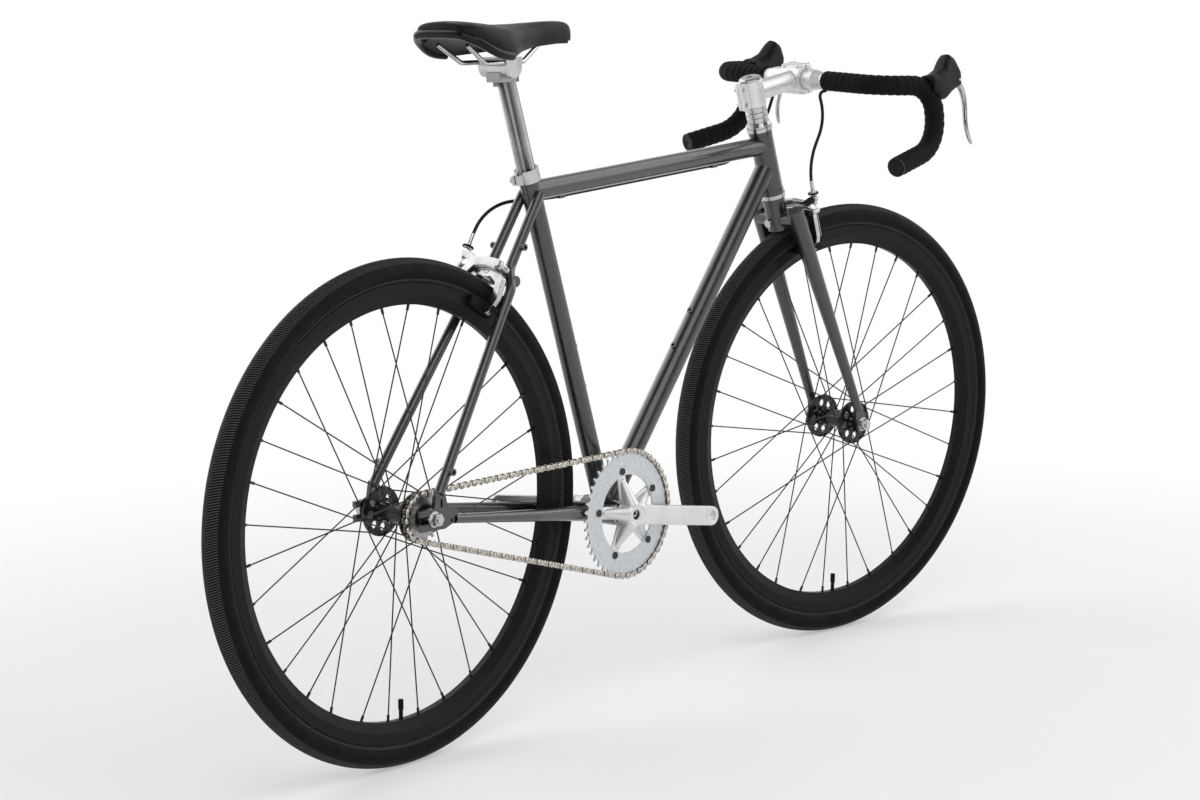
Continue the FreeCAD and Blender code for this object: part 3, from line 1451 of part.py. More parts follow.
def hub_profile(spacing, drive):
    """Half outline of a high-flange hub shell, as (radius, across), from left to right."""
    end = 0.5 * spacing - size.hub_end_clearance
    low = size.flange_offset - 0.5 * size.flange_thickness
    high = size.flange_offset + 0.5 * size.flange_thickness
    waist = low - 0.3 * size.flange_offset
    left = [(size.hub_bearing_radius, end), (size.hub_neck_radius, end), (size.hub_neck_radius, high),
            (size.flange_radius, high), (size.flange_radius, low), (size.hub_neck_radius, low),
            (size.hub_body_radius, waist)]
    right = [(radius, -across) for radius, across in left[::-1]]
    if drive:
        shelf = size.chain_line - 0.5 * size.sprocket_thickness
        outer = shelf + size.sprocket_thickness + size.lockring_thickness
        right[4:6] = [(size.lockring_radius, -high), (size.lockring_radius, -shelf),
                      (size.cog_carrier_radius, -shelf), (size.cog_carrier_radius, -outer),
                      (size.hub_neck_radius, -outer), (size.hub_neck_radius, -end)]
    return left + right


def hub_holes(phase):
    """Tools for the spoke holes and the round openings of both flanges."""
    holes = []
    for side in (1, -1):
        lead = 0.5 * hub_step if side > 0 else 0.0
        start = side * (size.flange_offset - size.flange_thickness)
        end = side * (size.flange_offset + size.flange_thickness)
        for index in range(spokes_a_side):
            turn = float(phase) + lead + hub_step * index
            holes.append(round_bar(polar(size.flange_spoke_radius, turn, start),
                                   polar(size.flange_spoke_radius, turn, end),
                                   size.spoke_radius + size.flange_spoke_hole_clearance))
        count = int(float(size.flange_hole_count))
        for index in range(count):
            turn = float(phase) + 360.0 * index / count
            holes.append(round_bar(polar(size.flange_hole_circle, turn, start),
                                   polar(size.flange_hole_circle, turn, end), size.flange_hole_radius))
    return Part.makeCompound(holes)


def wheel_bearing(name, axle_radius, spacing, side):
    end = side * (0.5 * spacing - size.hub_end_clearance)
    start = end - side * size.hub_bearing_width
    return ring(name, "XY_Plane", axle_radius + size.hub_fit, size.hub_bearing_radius, start, end)


def build_wheel(name, place, spacing, axle_radius, phase, valve_angle, drive):
    shell = revolved(name + "_hub_shell", "XY_Plane", hub_profile(spacing, drive))
    hub = [cut(name + "_hub_cut", shell, [shaped(name + "_hub_holes", hub_holes(phase))])]
    hub += [wheel_bearing("%s_bearing_%s" % (name, word), axle_radius, spacing, side) for side, word in SIDES]
    node(compound(name + "_hub", hub), name + "_hub", place)
    rim = revolved(name + "_rim_body", "XY_Plane", *rim_profile())
    node(cut(name + "_rim_cut", rim, [shaped(name + "_rim_holes", rim_holes(phase, valve_angle))]),
         name + "_rim", place)
    node(shaped(name + "_spokes", build_spokes(phase)), name + "_spokes", place)
    node(shaped(name + "_tyre", build_tyre()), name + "_tyre", place)
    node(shaped(name + "_inner_tube", build_inner_tube(valve_angle)), name + "_inner_tube", place)


def build_axle(name, place, radius, spacing, plate):
    """A threaded axle with its spacers, washers and nuts, as separate pieces."""
    face = 0.5 * spacing + plate
    top = face + size.axle_washer_height + size.axle_nut_height + 0.5 * size.axle_stand_out
    rod = cylinder(name + "_rod", radius, 2 * top, at(0, -top, 0) * CROSSWISE)
    pieces = [rod]
    inner = 0.5 * spacing - size.hub_end_clearance + size.bearing_gap
    for side, word in SIDES:
        pieces.append(ring("%s_spacer_%s" % (name, word), "XY_Plane", radius, size.axle_cone_radius,
                           side * inner, side * 0.5 * spacing))
        pieces.append(ring("%s_washer_%s" % (name, word), "XY_Plane", radius, size.axle_washer_radius,
                           side * face, side * (face + size.axle_washer_height)))
        nut = bind(doc.addObject("Part::Prism", "%s_nut_%s" % (name, word)),
                   Circumradius=size.axle_nut_radius,
                   Height=size.axle_nut_height)
        nut.Polygon = 6
        low = face + size.axle_washer_height
        nut.Placement = at(0, low if side > 0 else -low - size.axle_nut_height, 0) * CROSSWISE
        pieces.append(cut("%s_nut_cut_%s" % (name, word), nut, [rod]))
    node(compound(name, pieces), name, place)


build_wheel("front", front_spin_place, size.front_spacing, size.front_axle_radius, size.front_spoke_angle,
            size.front_valve_angle, False)
build_wheel("rear", spin_place, size.rear_spacing, size.rear_axle_radius, size.rear_spoke_angle,
            size.rear_valve_angle, True)
build_axle("front_axle", steering * at(size.fork_rake, 0, 0), size.front_axle_radius, size.front_spacing,
           size.fork_end_thickness)
build_axle("rear_axle", spin_place, size.rear_axle_radius, size.rear_spacing, size.dropout_thickness)


# Chain, cog and chainring

stay_line = (rear_axle - bb).normalize()
stay_up = Vector(stay_line.z, 0, -stay_line.x)
chain_lean = math.asin(pitch_step / chainstay_length)
on_ring, on_run, on_cog = chain_wraps(chainstay_length)
ring_step = 2 * math.pi / float(size.chainring_teeth)
cog_step = 2 * math.pi / float(size.cog_teeth)


def leaning(angle):
    """A direction in the wheel plane: angle 0 is away from the cog, positive turns upwards."""
    return stay_line * -math.cos(angle) + stay_up * math.sin(angle)


ring_edge = 0.5 * math.pi + chain_lean


def chain_station(count):
    """Where the chain's axis lies a number of links after it leaves the cog along the upper run."""
    upper_normal = leaning(ring_edge)
    lower_normal = leaning(-ring_edge)
    if count < on_run:
        share = count / on_run
        return (rear_axle + upper_normal * cog_pitch_radius) * (1 - share) + (
            bb + upper_normal * ring_pitch_radius) * share
    count -= on_run
    if count < on_ring:
        return bb + leaning(ring_edge - count * ring_step) * ring_pitch_radius
    count -= on_ring
    if count < on_run:
        share = count / on_run
        return (bb + lower_normal * ring_pitch_radius) * (1 - share) + (
            rear_axle + lower_normal * cog_pitch_radius) * share
    count -= on_run
    return rear_axle + leaning(-ring_edge - count * cog_step) * cog_pitch_radius


def link_plate(start, thickness):
    """One side plate of a chain link along Y, its inner face at start on the X axis."""
    reach = Vector(0, pitch, 0)
    radius = float(size.link_plate_radius)
    middle = 0.5 * reach
    waist = 0.68 * radius
    plate = capsule(Vector(), middle, radius, waist, thickness).fuse(
        capsule(middle, reach, waist, radius, thickness)).removeSplitter()
    plate.translate(Vector(start, 0, 0))
    return plate


def link_posts(radius, half_width):
    return [Part.makeCylinder(float(radius), 2 * half_width, Vector(-half_width, shift, 0), ALONG_X)
            for shift in (0, pitch)]


def build_chain():
    """Inner links with bored rollers and outer links with pins, in turn round both sprockets."""
    inside = float(size.roller_half_width)
    plate = float(size.link_plate_thickness)
    outside = inside + plate + float(size.link_plate_gap)
    end = outside + plate + float(size.chain_pin_stand_out)
    bore = Part.makeCompound(link_posts(size.chain_pin_radius + size.chain_clearance, end))
    inner = link_plate(inside, plate).multiFuse([link_plate(-inside - plate, plate)]
                                                + link_posts(size.roller_radius, inside)).cut(bore)
    outer = link_plate(outside, plate).multiFuse([link_plate(-outside - plate, plate)]
                                                 + link_posts(size.chain_pin_radius, end))
    links = []
    total = int(float(size.chain_links))
    side = vec(0, -size.chain_line, 0)
    for index in range(total):
        start = chain_station(index)
        ahead = chain_station((index + 1) % total) - start
        link = single(inner if index % 2 else outer).copy()
        link.Placement = Placement(start + side, Rotation(ALONG_Y, ahead, ALONG_Y.cross(ahead), "XYZ"))
        links.append(link)
    return Part.makeCompound(links)


def sprocket_face(teeth, pitch_radius, phase):
    """The toothed outline of a sprocket in the XZ plane, its first valley at phase radians."""
    step = 2 * math.pi / teeth
    valley = float(size.roller_radius + size.tooth_clearance)
    tip = pitch_radius + float(size.tooth_rise)
    tip_half = 0.09 * step
    edges = []
    for index in range(teeth):
        angle = phase + index * step
        out = Vector(math.cos(angle), 0, math.sin(angle))
        side = Vector(-math.sin(angle), 0, math.cos(angle))
        centre = out * pitch_radius
        entry = centre - side * valley
        leave = centre + side * valley
        top = [Vector(math.cos(spot), 0, math.sin(spot)) * tip
               for spot in (angle + 0.5 * step - tip_half, angle + 0.5 * step + tip_half)]
        next_angle = angle + step
        next_out = Vector(math.cos(next_angle), 0, math.sin(next_angle))
        next_side = Vector(-math.sin(next_angle), 0, math.cos(next_angle))
        edges += [Part.Arc(entry, centre - out * valley, leave).toShape(),
                  Part.LineSegment(leave, top[0]).toShape(), Part.LineSegment(top[0], top[1]).toShape(),
                  Part.LineSegment(top[1], next_out * pitch_radius - next_side * valley).toShape()]
    return Part.Face(Part.Wire(edges))


def sprocket(teeth, pitch_radius, centre, count, hole_radius, bolt_holes):
    """A sprocket about the origin whose valleys hold the chain's rollers at rest."""
    spot = chain_station(count) - centre
    face = sprocket_face(teeth, pitch_radius, math.atan2(spot.z, spot.x))
    thick = float(size.sprocket_thickness)
    start = -float(size.chain_line) - 0.5 * thick
    plate = face.extrude(ALONG_Y * thick)
    plate.translate(Vector(0, start, 0))
    tools = [Part.makeCylinder(float(hole_radius), 3 * thick, Vector(0, start - thick, 0), ALONG_Y)]
    for place in bolt_holes:
        tools.append(Part.makeCylinder(float(size.ring_bolt_radius), 3 * thick,
                                       place + Vector(0, start - thick, 0), ALONG_Y))
    return single(plate.cut(tools))


SPIDER_TURNS = [36 + 72 * index for index in range(5)]
bolt_spots = [polar(size.spider_circle, -turn) for turn in SPIDER_TURNS]
rest_turn = turned(ALONG_Y, size.crank_rest_angle)
first_on_ring = math.ceil(on_run)
first_on_cog = math.ceil(2 * on_run + on_ring)

node(shaped("chain", build_chain()), "chain")
cog = shaped("cog_plate", sprocket(int(float(size.cog_teeth)), cog_pitch_radius, rear_axle, first_on_cog,
                                   size.cog_carrier_radius, []))
lockring_start = -size.chain_line - 0.5 * size.sprocket_thickness
lockring = ring("lockring", "XY_Plane", size.cog_carrier_radius, size.lockring_radius,
                lockring_start - size.lockring_thickness, lockring_start)
node(compound("rear_cog", [cog, lockring]), "rear_cog", spin_place)
node(shaped("chainring", sprocket(int(float(size.chainring_teeth)), ring_pitch_radius, bb, first_on_ring,
                                  size.chainring_inner_radius,
                                  [rest_turn.multVec(spot) for spot in bolt_spots])),
     "chainring", Placement(bb, Rotation()))


# Bottom bracket, spindle and cranks

spider_inner = -size.chain_line + 0.5 * size.sprocket_thickness + size.spider_thickness
shell_half = 0.5 * size.shell_length
bearing_outer = size.shell_bore - 2 * size.tube_wall * 2
spindle_bore = size.spindle_radius + size.steerer_clearance


def build_bottom_bracket():
    pieces = []
    for side, word in SIDES:
        inner = side * (shell_half - size.bb_cup_thickness)
        face = side * shell_half
        lip = side * (shell_half + size.bb_cup_lip)
        pieces.append(revolved("bracket_cup_" + word, "XY_Plane", (
            (bearing_outer, inner), (size.shell_bore, inner), (size.shell_bore, face),
            (size.bb_cup_radius, face),
            (size.bb_cup_radius, lip), (bearing_outer, lip))))
        pieces.append(ring("bracket_bearing_" + word, "XY_Plane", spindle_bore, bearing_outer, inner, face))
    return pieces


node(compound("bottom_bracket", build_bottom_bracket()), "bottom_bracket", Placement(bb, Rotation()))


def square_taper(side):
    """A tapered square spindle end, from the crank's inner face to the end of the spindle."""
    rings = []
    for half, across in ((size.spindle_taper_half, -spider_inner),
                         (size.spindle_taper_end_half, size.spindle_end)):
        corner = float(half)
        reach = side * float(across)
        spots = [Vector(corner, reach, corner), Vector(-corner, reach, corner),
                 Vector(-corner, reach, -corner), Vector(corner, reach, -corner)]
        rings.append(Part.makePolygon(spots + spots[:1]))
    return Part.makeLoft(rings, True, True)


spindle_half = -float(spider_inner) - float(size.bearing_gap)


def build_spindle():
    middle = Part.makeCylinder(float(size.spindle_radius), 2 * spindle_half, Vector(0, -spindle_half, 0),
                               ALONG_Y)
    half = float(size.spindle_taper_half)
    necks = [Part.makeBox(2 * half, float(size.bearing_gap), 2 * half, Vector(
        -half, spindle_half if side > 0 else -spindle_half - float(size.bearing_gap),
        -half)) for side in (1, -1)]
    return single(middle.multiFuse([square_taper(1), square_taper(-1)] + necks))


def build_crank(side, word):
    """A flat crank arm from its boss on the spindle to the pedal eye."""
    ahead = -side
    face = side * size.crank_face
    end_face = side * size.crank_end_face
    back = side * (size.crank_face - size.crank_thickness)
    end_back = side * (size.crank_end_face - size.crank_thickness)
    reach = ahead * size.crank_length
    arm = padded("crank_arm_" + word, "XY_Plane", size.crank_width,
                 ((0, back), (reach, end_back), (reach, end_face), (0, face)))
    start = -spider_inner
    boss = cylinder("crank_boss_" + word, size.crank_boss_radius, size.crank_face - start,
                    at(0, start if side > 0 else -size.crank_face, 0) * CROSSWISE)
    eye_start = size.crank_end_face - size.crank_thickness
    eye = cylinder("crank_eye_" + word, 0.5 * size.crank_width, size.crank_thickness,
                   at(reach, eye_start if side > 0 else -size.crank_end_face, 0) * CROSSWISE)
    thread = cylinder("pedal_thread_" + word, size.pedal_thread_radius, 2 * size.crank_end_face,
                      at(reach, 0 if side > 0 else -2 * size.crank_end_face, 0) * CROSSWISE)
    pocket_depth = size.crank_face - size.spindle_end + size.overrun
    pocket = cylinder("crank_pocket_" + word, size.crank_bolt_radius, pocket_depth,
                      at(0, size.spindle_end if side > 0 else -size.spindle_end - pocket_depth,
                         0) * CROSSWISE)
    taper = shaped("crank_taper_" + word, square_taper(side))
    pieces = [arm, boss, eye]
    if side < 0:
        thick = float(size.spider_thickness)
        root = float(size.spider_root_half_width)
        tab = float(size.spider_tab_radius)
        plate = capsule(Vector(), vec(0, size.spider_circle, 0), root, tab, thick)
        plate.Placement = at(0, spider_inner, 0) * turned(ALONG_Z, -90)
        for index, turn in enumerate(SPIDER_TURNS):
            pieces.append(shaped("spider_arm_%d" % index, spin(Part.Compound([plate]), -turn).Solids[0]))
    tools = [thread, pocket, taper]
    if side < 0:
        tools += [cylinder("spider_hole_%d" % index, size.ring_bolt_radius, 4 * size.spider_thickness,
                           Placement(spot, Rotation()) * at(0, spider_inner - 3 * size.spider_thickness, 0)
                           * CROSSWISE) for index, spot in enumerate(bolt_spots)]
    return cut("crank_cut_" + word, fuse("crank_solid_" + word, pieces), tools)


node(shaped("crank_spindle", build_spindle()), "crank_spindle", crank_place)
node(build_crank(-1, "right"), "right_crank", crank_place)
node(build_crank(1, "left"), "left_crank", crank_place)


def build_crank_bolts():
    """Two spindle bolts and five chainring bolts."""
    pieces = []
    for side, word in SIDES:
        low = side * size.spindle_end
        high = side * (size.spindle_end + 0.6 * (size.crank_face - size.spindle_end))
        floor = side * (size.spindle_end + 0.2 * (size.crank_face - size.spindle_end))
        pieces.append(revolved("spindle_bolt_" + word, "XY_Plane", (
            (0, low), (size.crank_bolt_radius, low), (size.crank_bolt_radius, high),
            (size.crank_bolt_socket, high),
            (size.crank_bolt_socket, floor), (0, floor))))
    outer = -size.chain_line - 0.5 * size.sprocket_thickness
    for index, spot in enumerate(bolt_spots):
        bolt = revolved("ring_bolt_%d" % index, "XY_Plane", (
            (0, outer - size.ring_bolt_head_height),
            (size.ring_bolt_head_radius, outer - size.ring_bolt_head_height),
            (size.ring_bolt_head_radius, outer), (size.ring_bolt_radius, outer),
            (size.ring_bolt_radius, spider_inner), (size.ring_bolt_head_radius, spider_inner),
            (size.ring_bolt_head_radius, spider_inner + size.ring_bolt_head_height),
            (0, spider_inner + size.ring_bolt_head_height)))
        bolt.Placement = Placement(spot, Rotation())
        pieces.append(bolt)
    return pieces


node(compound("crank_bolts", build_crank_bolts()), "crank_bolts", crank_place)


# Caliper brakes: each has a fixed bolt, two pivoting arms and two shoes

foot_radius = 0.123 * size.brake_reach
foot_side = size.rim_half_width + size.shoe_gap + size.shoe_thickness + size.shoe_arm_gap + foot_radius
layer_a = size.brake_washer
layer_b = size.brake_washer + size.brake_arm_thickness + size.brake_arm_gap
shoe_centre = layer_b - 0.5 * size.brake_arm_gap
ARM_A_SHARES = (
    # across, up and radius, in reaches, from the knee over the centre bolt to the cable anchor
    (0.60, -0.67, 0.123),
    (0.53, -0.21, 0.123),
    (0.25, 0.0, 0.14),
    (0.0, 0.0, 0.16),
    (-0.40, 0.07, 0.115),
    (-0.86, 0.07, 0.09),
)
ARM_B_SHARES = (
    # from the side pivot over the centre bolt and down the other flank
    (0.0, 0.215, 0.125),
    (-0.40, 0.19, 0.13),
    (-0.63, -0.14, 0.13),
    (-0.63, -0.67, 0.123),
)
STOP_SHARES = ((-0.40, 0.19, 0.11), (-0.86, 0.44, 0.10))


def arm_stations(shares):
    reach = float(size.brake_reach)
    return [(Vector(0, across * reach, up * reach), radius * reach) for across, up, radius in shares]


shoe_nut_radius = 1.7 * size.shoe_bolt_radius


def shoe_hole(side, layer):
    """Tool for the shoe's bolt hole in the foot of an arm, with a flat seat for the nut."""
    deep = float(size.brake_arm_thickness)
    middle = float(layer) + 0.5 * deep
    start = vec(middle, 0, -size.brake_reach)
    end = start + ALONG_Y * (side * 2 * float(foot_side))
    hole = round_bar(start, end, size.shoe_bolt_radius + size.brake_bolt_clearance)
    seat = round_bar(start + ALONG_Y * (side * float(foot_side + foot_radius)), end,
                     shoe_nut_radius + size.shoe_arm_gap)
    return hole.fuse(seat)


def build_arm_a():
    """The arm on the centre bolt: its shoe is on one side and its cable anchor on the other."""
    foot = (vec(0, foot_side, -size.brake_reach), float(foot_radius))
    body = chain_of_links([foot] + arm_stations(ARM_A_SHARES), float(size.brake_arm_thickness))
    body.translate(vec(layer_a, 0, 0))
    deep = 4 * float(size.brake_washer)
    bolt_hole = Part.makeCylinder(float(size.brake_bolt_radius + size.brake_bolt_clearance), deep,
                                  Vector(), ALONG_X)
    anchor = anchor_place()
    face = vec(layer_a + size.brake_arm_thickness, anchor.y, anchor.z)
    screw = Part.makeCylinder(float(size.anchor_radius), float(size.anchor_length), face, ALONG_X)
    tail = round_bar(anchor, anchor - ALONG_Z * float(size.wire_tail), size.wire_radius)
    return single(body.cut([bolt_hole, shoe_hole(1, layer_a)]).multiFuse([screw, tail]))


side_pivot = vec(0, size.brake_pivot_side, size.brake_pivot_rise)


def build_arm_b():
    """The arm on the side pivot, with the cable stop at its upper end."""
    foot = (vec(0, -foot_side, -size.brake_reach), float(foot_radius))
    hub = (side_pivot, 0.14 * float(size.brake_reach))
    deep = float(size.brake_arm_thickness)
    body = chain_of_links([hub] + arm_stations(ARM_B_SHARES) + [foot], deep)
    stop = chain_of_links(arm_stations(STOP_SHARES), deep)
    body = body.fuse(stop)
    body.translate(vec(layer_b, 0, 0))
    hole = Part.makeCylinder(float(size.brake_bolt_radius + size.brake_bolt_clearance), 6 * deep,
                             side_pivot, ALONG_X)
    barrel_place = cable_stop(-3 * size.barrel_radius)
    barrel = Part.makeCylinder(float(size.barrel_radius), float(size.barrel_length + 3 * size.barrel_radius),
                               barrel_place, ALONG_Z)
    knob = Part.makeCylinder(float(size.barrel_ring_radius), float(size.barrel_ring_height),
                             cable_stop(2 * size.barrel_radius), ALONG_Z)
    wire_hole = Part.makeCylinder(float(size.wire_radius + size.wire_hole_clearance),
                                  4 * float(size.barrel_length), cable_stop(-2 * size.barrel_length), ALONG_Z)
    body = body.multiFuse([barrel, knob]).cut([hole, shoe_hole(-1, layer_b), wire_hole])
    return single(body)


def cable_stop(rise):
    """A place on the brake wire's line, a height above the stop."""
    reach = float(size.brake_reach)
    across, up, _ = STOP_SHARES[-1]
    return vec(layer_b + 0.5 * size.brake_arm_thickness, across * reach, up * reach + float(rise))


def anchor_place():
    """Where the brake wire is clamped on the centre arm."""
    across, up, _ = ARM_A_SHARES[-1]
    return vec(layer_b + 0.5 * size.brake_arm_thickness, across * size.brake_reach, up * size.brake_reach)


def build_brake_bolt(through):
    """The centre bolt with its bracket, side pivot and recessed nut, fixed to frame or fork."""
    start = vec(0.5 * size.brake_washer, 0, 0)
    deep = float(0.5 * size.brake_washer - size.brake_arm_gap)
    end = float(layer_a + size.brake_arm_thickness + 0.5 * size.brake_arm_gap)
    back = float(through)
    bolt = Part.makeCylinder(float(size.brake_bolt_radius), end + back, Vector(-back, 0, 0), ALONG_X)
    nut = Part.makeCylinder(float(size.brake_nut_radius), float(size.brake_nut_height),
                            Vector(-back - float(size.brake_nut_height), 0, 0), ALONG_X)
    bracket = capsule(Vector(), side_pivot, 0.14 * float(size.brake_reach),
                      0.12 * float(size.brake_reach), deep)
    bracket.translate(start)
    pivot_end = float(layer_b + size.brake_arm_thickness + size.brake_arm_gap)
    pivot = round_bar(side_pivot + start, side_pivot + ALONG_X * pivot_end, size.brake_bolt_radius)
    head = Part.makeCylinder(float(size.brake_pivot_head_radius), float(size.brake_arm_gap) * 4,
                             side_pivot + ALONG_X * pivot_end, ALONG_X)
    return single(bolt.multiFuse([nut, bracket, pivot, head]))


def build_shoe(side, layer):
    """A brake block with its bolt through the foot of an arm and the nut outside it."""
    length = float(size.shoe_length)
    high = float(size.shoe_height)
    inner = size.rim_half_width + size.shoe_gap
    drop = -size.brake_reach - 0.5 * size.shoe_height
    near_face = inner if side > 0 else -inner - size.shoe_thickness
    block = Part.makeBox(length, float(size.shoe_thickness), high,
                         vec(shoe_centre - 0.5 * length, near_face, drop))
    block = block.makeChamfer(0.15 * high, [edge for edge in block.Edges if edge.Length < high * 0.9])
    start = vec(layer + 0.5 * size.brake_arm_thickness, side * (inner + 0.5 * size.shoe_thickness),
                -size.brake_reach)
    end = Vector(start.x, side * float(foot_side + foot_radius + size.shoe_arm_gap), start.z)
    bolt = round_bar(start, end, size.shoe_bolt_radius)
    nut = round_bar(end, end + ALONG_Y * (side * float(size.shoe_bolt_radius)), shoe_nut_radius)
    return single(block.multiFuse([bolt, nut]))


def build_brake(name, place, through):
    node(shaped(name + "_brake_bolt", build_brake_bolt(through)), name + "_brake_bolt", place)
    node(shaped(name + "_brake_centre_arm", build_arm_a()), name + "_brake_centre_arm", place)
    node(shaped(name + "_brake_side_arm", build_arm_b()), name + "_brake_side_arm", place)
    node(shaped(name + "_brake_centre_shoe", build_shoe(1, layer_a)), name + "_brake_centre_shoe", place)
    node(shaped(name + "_brake_side_shoe", build_shoe(-1, layer_b)), name + "_brake_side_shoe", place)


build_brake("front", front_caliper, 2 * size.crown_boss_radius + 2 * size.bearing_gap)
build_brake("rear", rear_caliper, 2 * size.bridge_radius)


# Seatpost, seat clamp and saddle

def build_seatpost():
    inner = size.seatpost_radius - size.seatpost_wall
    lid = size.seatpost_top - 2 * size.seatpost_wall
    tube = revolved("seatpost_tube", "XZ_Plane", (
        (inner, size.seatpost_bottom), (size.seatpost_radius, size.seatpost_bottom),
        (size.seatpost_radius, size.seatpost_top), (0, size.seatpost_top), (0, lid), (inner, lid)))
    tube.Placement = seat_frame
    block = box("seatpost_block", size.head_block_length, size.head_block_width, size.head_block_height,
                saddle_frame * at(size.head_block_forward, 0, -size.head_block_drop))
    hollow = size.cradle_radius + size.cradle_clearance
    cradle_cut = cylinder("seatpost_cradle_cut", hollow, 2 * size.cradle_width,
                          saddle_frame * at(0, -size.cradle_width, 0) * CROSSWISE)
    body = cut("seatpost_body", fuse("seatpost_solid", [tube, block]), [cradle_cut])
    bolt = cylinder("seatpost_bolt", size.clamp_bolt_radius, size.clamp_bolt_length,
                    saddle_frame * at(-0.25 * size.head_block_length, 0,
                                      -size.head_block_drop - size.clamp_bolt_length))
    return compound("seatpost", [body, bolt])


saddle_frame = Placement(seat_frame.multVec(vec(-size.cradle_back, 0, size.cradle_rise)), Rotation())
node(build_seatpost(), "seatpost")


def build_collar():
    low = size.seat_tube_length - size.collar_height
    outer = size.seat_tube_radius + size.collar_wall
    sleeve = cylinder("collar_sleeve", outer, size.collar_height, at(0, 0, low))
    ear_reach = outer + size.collar_ear_length
    ears = box("collar_ears", ear_reach, size.collar_ear_width, 0.7 * size.collar_height,
               at(-0.5 * ear_reach, 0, low + 0.15 * size.collar_height))
    bore = cylinder("collar_bore", size.seat_tube_radius, 2 * size.collar_height, at(0, 0,
                                                                                     low - size.overrun))
    slit = box("collar_slit", ear_reach + outer, size.collar_slit, 2 * size.collar_height,
               at(-0.5 * (ear_reach + outer), 0, low - size.overrun))
    screw_place = at(-outer - 0.5 * size.collar_ear_length, 0.5 * size.collar_ear_width,
                     low + 0.5 * size.collar_height) * CROSSWISE
    hole = stem_hole("collar_hole", screw_place, size.collar_ear_width)
    body = cut("collar_cut", fuse("collar_solid", [sleeve, ears]), [bore, slit, hole])
    return compound("seat_clamp", [body, cap_screw("collar_screw", screw_place, size.collar_ear_width)])


node(build_collar(), "seat_clamp", seat_frame)


def rail_path(side):
    front = size.rail_front_kink
    rear = size.rail_front_kink - size.rail_straight
    return rounded_path([
        vec(front + size.rail_front_run, side * size.rail_nose_offset, size.rail_height + size.rail_rise),
        vec(front, side * size.rail_offset, size.rail_height),
        vec(rear, side * size.rail_offset, size.rail_height),
        vec(rear - size.rail_rear_run, side * size.rail_rear_offset, size.rail_height + size.rail_rise),
    ], [size.rail_bend_radius, size.rail_bend_radius])


rails = Part.makeCompound([piped(rail_path(side), size.rail_radius) for side, name in SIDES])
node(shaped("saddle_rails", rails), "saddle_rails", saddle_frame)

rail_tool = shaped("saddle_rail_tool", rails)
clamp_round = cylinder("clamp_round", size.cradle_radius, size.cradle_width,
                       at(0, -0.5 * size.cradle_width, 0) * CROSSWISE)
clamp_above = box("clamp_above", 4 * size.cradle_radius, 2 * size.cradle_width, 2 * size.cradle_radius,
                  at(0, 0, size.rail_height))
clamp_plate = box("clamp_plate", size.clamp_plate_length, size.cradle_width, size.clamp_plate_height,
                  at(0, 0, size.rail_height))
node(compound("saddle_clamp", [cut("clamp_lower", clamp_round, [clamp_above, rail_tool]),
                               cut("clamp_upper", clamp_plate, [rail_tool])]), "saddle_clamp", saddle_frame)

SADDLE_SHARES = (
    # along from the rear, half width, top, bottom edge below the top, arch of the underside
    (0.0, 0.60, 0.10, 0.42, 0.20),
    (0.07, 0.86, 0.13, 0.66, 0.40),
    (0.20, 1.0, 0.08, 0.95, 0.62),
    (0.34, 0.92, 0.0, 0.95, 0.60),
    (0.50, 0.56, -0.02, 0.80, 0.44),
    (0.66, 0.33, 0.0, 0.68, 0.32),
    (0.85, 0.26, 0.02, 0.62, 0.22),
    (0.96, 0.21, -0.02, 0.56, 0.14),
    (1.0, 0.12, -0.14, 0.42, 0.08),
)
EDGE_SHARE = 0.93
SHOULDER_SHARE = 0.80
SHOULDER_DROP_SHARE = 0.14
SIDE_RISE_SHARE = 0.45
SHELL_EDGE_SHARE = 0.80


def saddle_levels(row):
    """Place along, half width, and the top, edge and underside heights of one saddle section."""
    along_share, wide, top, drop, arch = row
    ahead = float(along_share * size.saddle_length - size.saddle_behind_clamp)
    half = float(wide * size.saddle_half_width)
    high = float(size.saddle_top + top * size.saddle_height)
    low = high - float(drop * size.saddle_height)
    return ahead, half, high, low, low + float(arch * size.saddle_height)


def saddle_section(row):
    ahead, half, high, low, under = saddle_levels(row)
    rise = high - low

    def spot(across, up):
        return Vector(ahead, across, up)

    shoulder = high - SHOULDER_DROP_SHARE * rise
    flank = low + SIDE_RISE_SHARE * rise
    return Part.Wire([
        Part.Arc(spot(EDGE_SHARE * half, low), spot(half, flank), spot(SHOULDER_SHARE * half,
                                                                       shoulder)).toShape(),
        Part.Arc(spot(SHOULDER_SHARE * half, shoulder), spot(0, high),
                 spot(-SHOULDER_SHARE * half, shoulder)).toShape(),
        Part.Arc(spot(-SHOULDER_SHARE * half, shoulder), spot(-half, flank),
                 spot(-EDGE_SHARE * half, low)).toShape(),
        Part.Arc(spot(-EDGE_SHARE * half, low), spot(0, under), spot(EDGE_SHARE * half, low)).toShape()])


def shell_section(row):
    """The moulded base just under the cover, following its arch."""
    ahead, half, high, low, under = saddle_levels(row)
    gap = float(size.saddle_clearance)
    thick = float(size.saddle_shell_thickness)
    edge = SHELL_EDGE_SHARE * half
    edge_level = low + (under - low) * (1 - (SHELL_EDGE_SHARE / EDGE_SHARE) ** 2) - gap

    def spot(across, up):
        return Vector(ahead, across, up)

    return Part.Wire([
        Part.Arc(spot(edge, edge_level), spot(0, under - gap), spot(-edge, edge_level)).toShape(),
        Part.LineSegment(spot(-edge, edge_level), spot(-edge, edge_level - thick)).toShape(),
        Part.Arc(spot(-edge, edge_level - thick), spot(0, under - gap - thick),
                 spot(edge, edge_level - thick)).toShape(),
        Part.LineSegment(spot(edge, edge_level - thick), spot(edge, edge_level)).toShape()])


